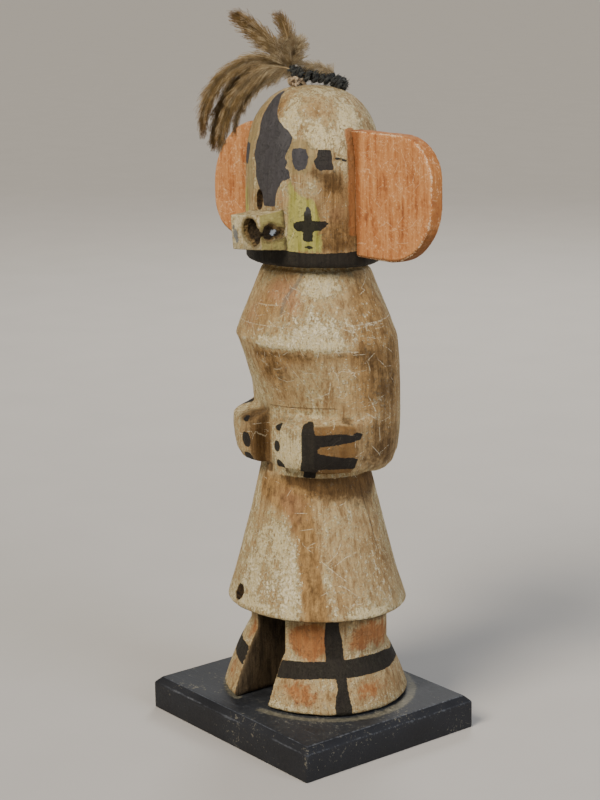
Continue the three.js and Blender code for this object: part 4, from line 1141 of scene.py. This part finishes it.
# Faded down: pale greyish tan near the quill, dull brown on the way, dark and orange-brown at the tips.
def downMaterial(name, ageing):
    material, add, field, (locks,) = startSurface(name, ("reach", "tone", "along"), ((perMm, 0.3, 3, 0.5),))
    reach, tone, along = field.values()
    colour = layered(add, (
        (((tone, 1),), (0, 1), 1, ("#9c8660", "#c4b48f"), tone),
        (((reach, 0.8 * ageing), (along, 0.5), (locks, 0.9)), (0.75, 1.25), 0.9, ("#7d6437", "#a98c5c"), tone),
        (((reach, 0.8 * ageing), (along, 0.5), (locks, 1)), (1.3, 1.8), 0.85, ("#553b1c", "#8a6030"), tone),
        (((locks, 1), (tone, 0.25)), (0.66, 0.78), 0.5, ("#c0ad84", "#d3c39e"), tone),
        (((locks, -1), (tone, 0.2)), (-0.36, -0.24), 0.6, ("#4c3719", "#5f4723"), tone),
    ))[0]
    endSurface(add, colour, 0.85, 0.2, None, {"Sheen Weight": 0.15, "Sheen Roughness": 0.4})
    return material


down = downMaterial("FadedBrownDown", 1)
paleDown = downMaterial("PaleTanDown", 0)
downyTree = downTree()
for number, (node, shape) in enumerate(feathers.items()):
    feather = grow(curveObject("down" + node.replace("feather_", "Feather"), [featherPath(shape)]), downyTree, {
        "Barb Spacing": 0.014 * mm, "Barb Length": shape["barb"] * mm,
        "Seed": 20 + number,
        "Down": down})
    finishPiece(feather, down, [node])

# Loose down caught in the binding: short tan fibres along its top, and pale fluff standing at its mouth.
fluff = {
    "binding": [(-8.5, 244.6), (-5, 246), (-1.5, 247), (2, 247.4), (5, 248.6)],
    "mouth": [(7.5, 247), (6.6, 251.5), (5.4, 256.5)],
    "mouthFront": [(10, 247.4), (11, 251.5), (11.4, 255.4)],
}
for name, barb, seed in (("binding", 2.8, 31), ("mouth", 6, 32), ("mouthFront", 6, 33)):
    path = smoothPath([tuftPoint(run, height, 0.4) for run, height in fluff[name]], 30)
    wisp = grow(curveObject(name + "Fluff", [path]), downyTree, {
        "Barb Spacing": 0.007 * mm, "Barb Length": barb * mm, "Barb Radius": 0.008,
        "Lean": 0.4,
        "Loose": 1.6, "Lock Drift": 4 * mm, "Droop": 0.4 * mm, "Shaft Radius": 0.08 * mm, "Bare Quill": -0.3,
        "Seed": seed, "Down": paleDown})
    finishPiece(wisp, paleDown, [])


# A pale plain floor that runs past the horizon, and soft light: a wide key high in front of the doll, a
# fill on its left and a weak back light. The room is pale where it meets the floor and darker overhead.
studio = {"floorReach": 15, "floorHex": "#b9b6b0", "floorLightHex": "#c0bdb7", "horizonHex": "#b7b0a8",
          "zenithHex": "#686b6f", "worldStrength": 1.0}


def studioFloor():
    mesh = bpy.data.meshes.new("studioFloor")
    reach = studio["floorReach"]
    mesh.from_pydata([(-reach, -reach, 0), (reach, -reach, 0), (reach, reach, 0), (-reach, reach, 0)], [], [(0,
        1, 2, 3)])
    piece = newObject("studioFloor", mesh)
    material, add, _, (mottle,) = startSurface("MattePaperSweep", (), (((1, 1, 1), 20, 3, 0.5),))
    colour = add("ShaderNodeMix", [mottle, studio["floorHex"], studio["floorLightHex"]], data_type="RGBA")
    endSurface(add, colour, 0.95, 0.2)
    mesh.materials.append(material)


# One light; towards points from what it lights back to the light.
def addLight(name, kind, place, towards, power, colourHex, **settings):
    data = bpy.data.lights.new(name, kind)
    data.energy = power
    data.color = linear(colourHex)[:3]
    for setting, value in settings.items():
        setattr(data, setting, value)
    lamp = newObject(name, data)
    lamp.location = place
    lamp.rotation_euler = Vector(towards).to_track_quat("Z", "Y").to_euler()


def softRoom():
    world = bpy.data.worlds.new("softRoom")
    bpy.context.scene.world = world
    world.use_nodes = True
    world.node_tree.nodes.clear()
    add = functools.partial(addNode, world.node_tree)
    upward = add("ShaderNodeSeparateXYZ",
                 {"Vector": add("ShaderNodeTexCoord").outputs["Generated"]}).outputs["Z"]
    share = add("ShaderNodeMapRange", {"Value": upward, "From Max": 0.22})
    colour = add("ShaderNodeMix", [share, studio["horizonHex"], studio["zenithHex"]], data_type="RGBA")
    glow = add("ShaderNodeBackground", {"Color": colour, "Strength": studio["worldStrength"]})
    add("ShaderNodeOutputWorld", {"Surface": glow})


studioFloor()
keyPlace, keyWidth = (0.22, -1.1, 1.05), 26  # a very wide, distant key, so that the floor is lit evenly
addLight("key", "SUN", keyPlace, keyPlace, 3.5, "#fff4e6", angle=math.radians(keyWidth))
for name, place, aimHeight, size, power, colourHex in (
        ("fill", (1.2, 0.15, 0.7), 0.15, 0.8, 10, "#eef2ff"), ("back", (-0.7, 0.8, 0.9), 0.18, 0.5, 6,
                                                               "#ffffff")):
    addLight(name, "AREA", place, Vector(place) - Vector((0, 0, aimHeight)), power, colourHex, shape="DISK",
             size=size)
softRoom()

camera = {"azimuth": 51.62, "pitch": 13.21, "roll": -0.73, "distance": 0.76808, "lens": 88.5,
          "aside": -0.0059, "aimHeight": 0.13162}


def placeCamera():
    turn, dip = math.radians(camera["azimuth"]), math.radians(camera["pitch"])
    right = Vector((math.cos(turn), math.sin(turn), 0))
    back = Vector((math.sin(turn) * math.cos(dip), -math.cos(turn) * math.cos(dip), math.sin(dip)))
    target = dollAxis + right * camera["aside"] + Vector((0, 0, camera["aimHeight"]))
    data = bpy.data.cameras.new("camera")
    data.lens = camera["lens"]
    data.sensor_width = 36
    data.dof.use_dof = False
    data.clip_start = 0.01
    view = newObject("camera", data)
    up = back.cross(right)
    level = Matrix((right, up, back)).transposed()
    view.matrix_world = (Matrix.Translation(target + back * camera["distance"])
                         @ level.to_4x4() @ Matrix.Rotation(math.radians(camera["roll"]), 4, "Z"))
    bpy.context.scene.camera = view


placeCamera()
print("light and camera placed")
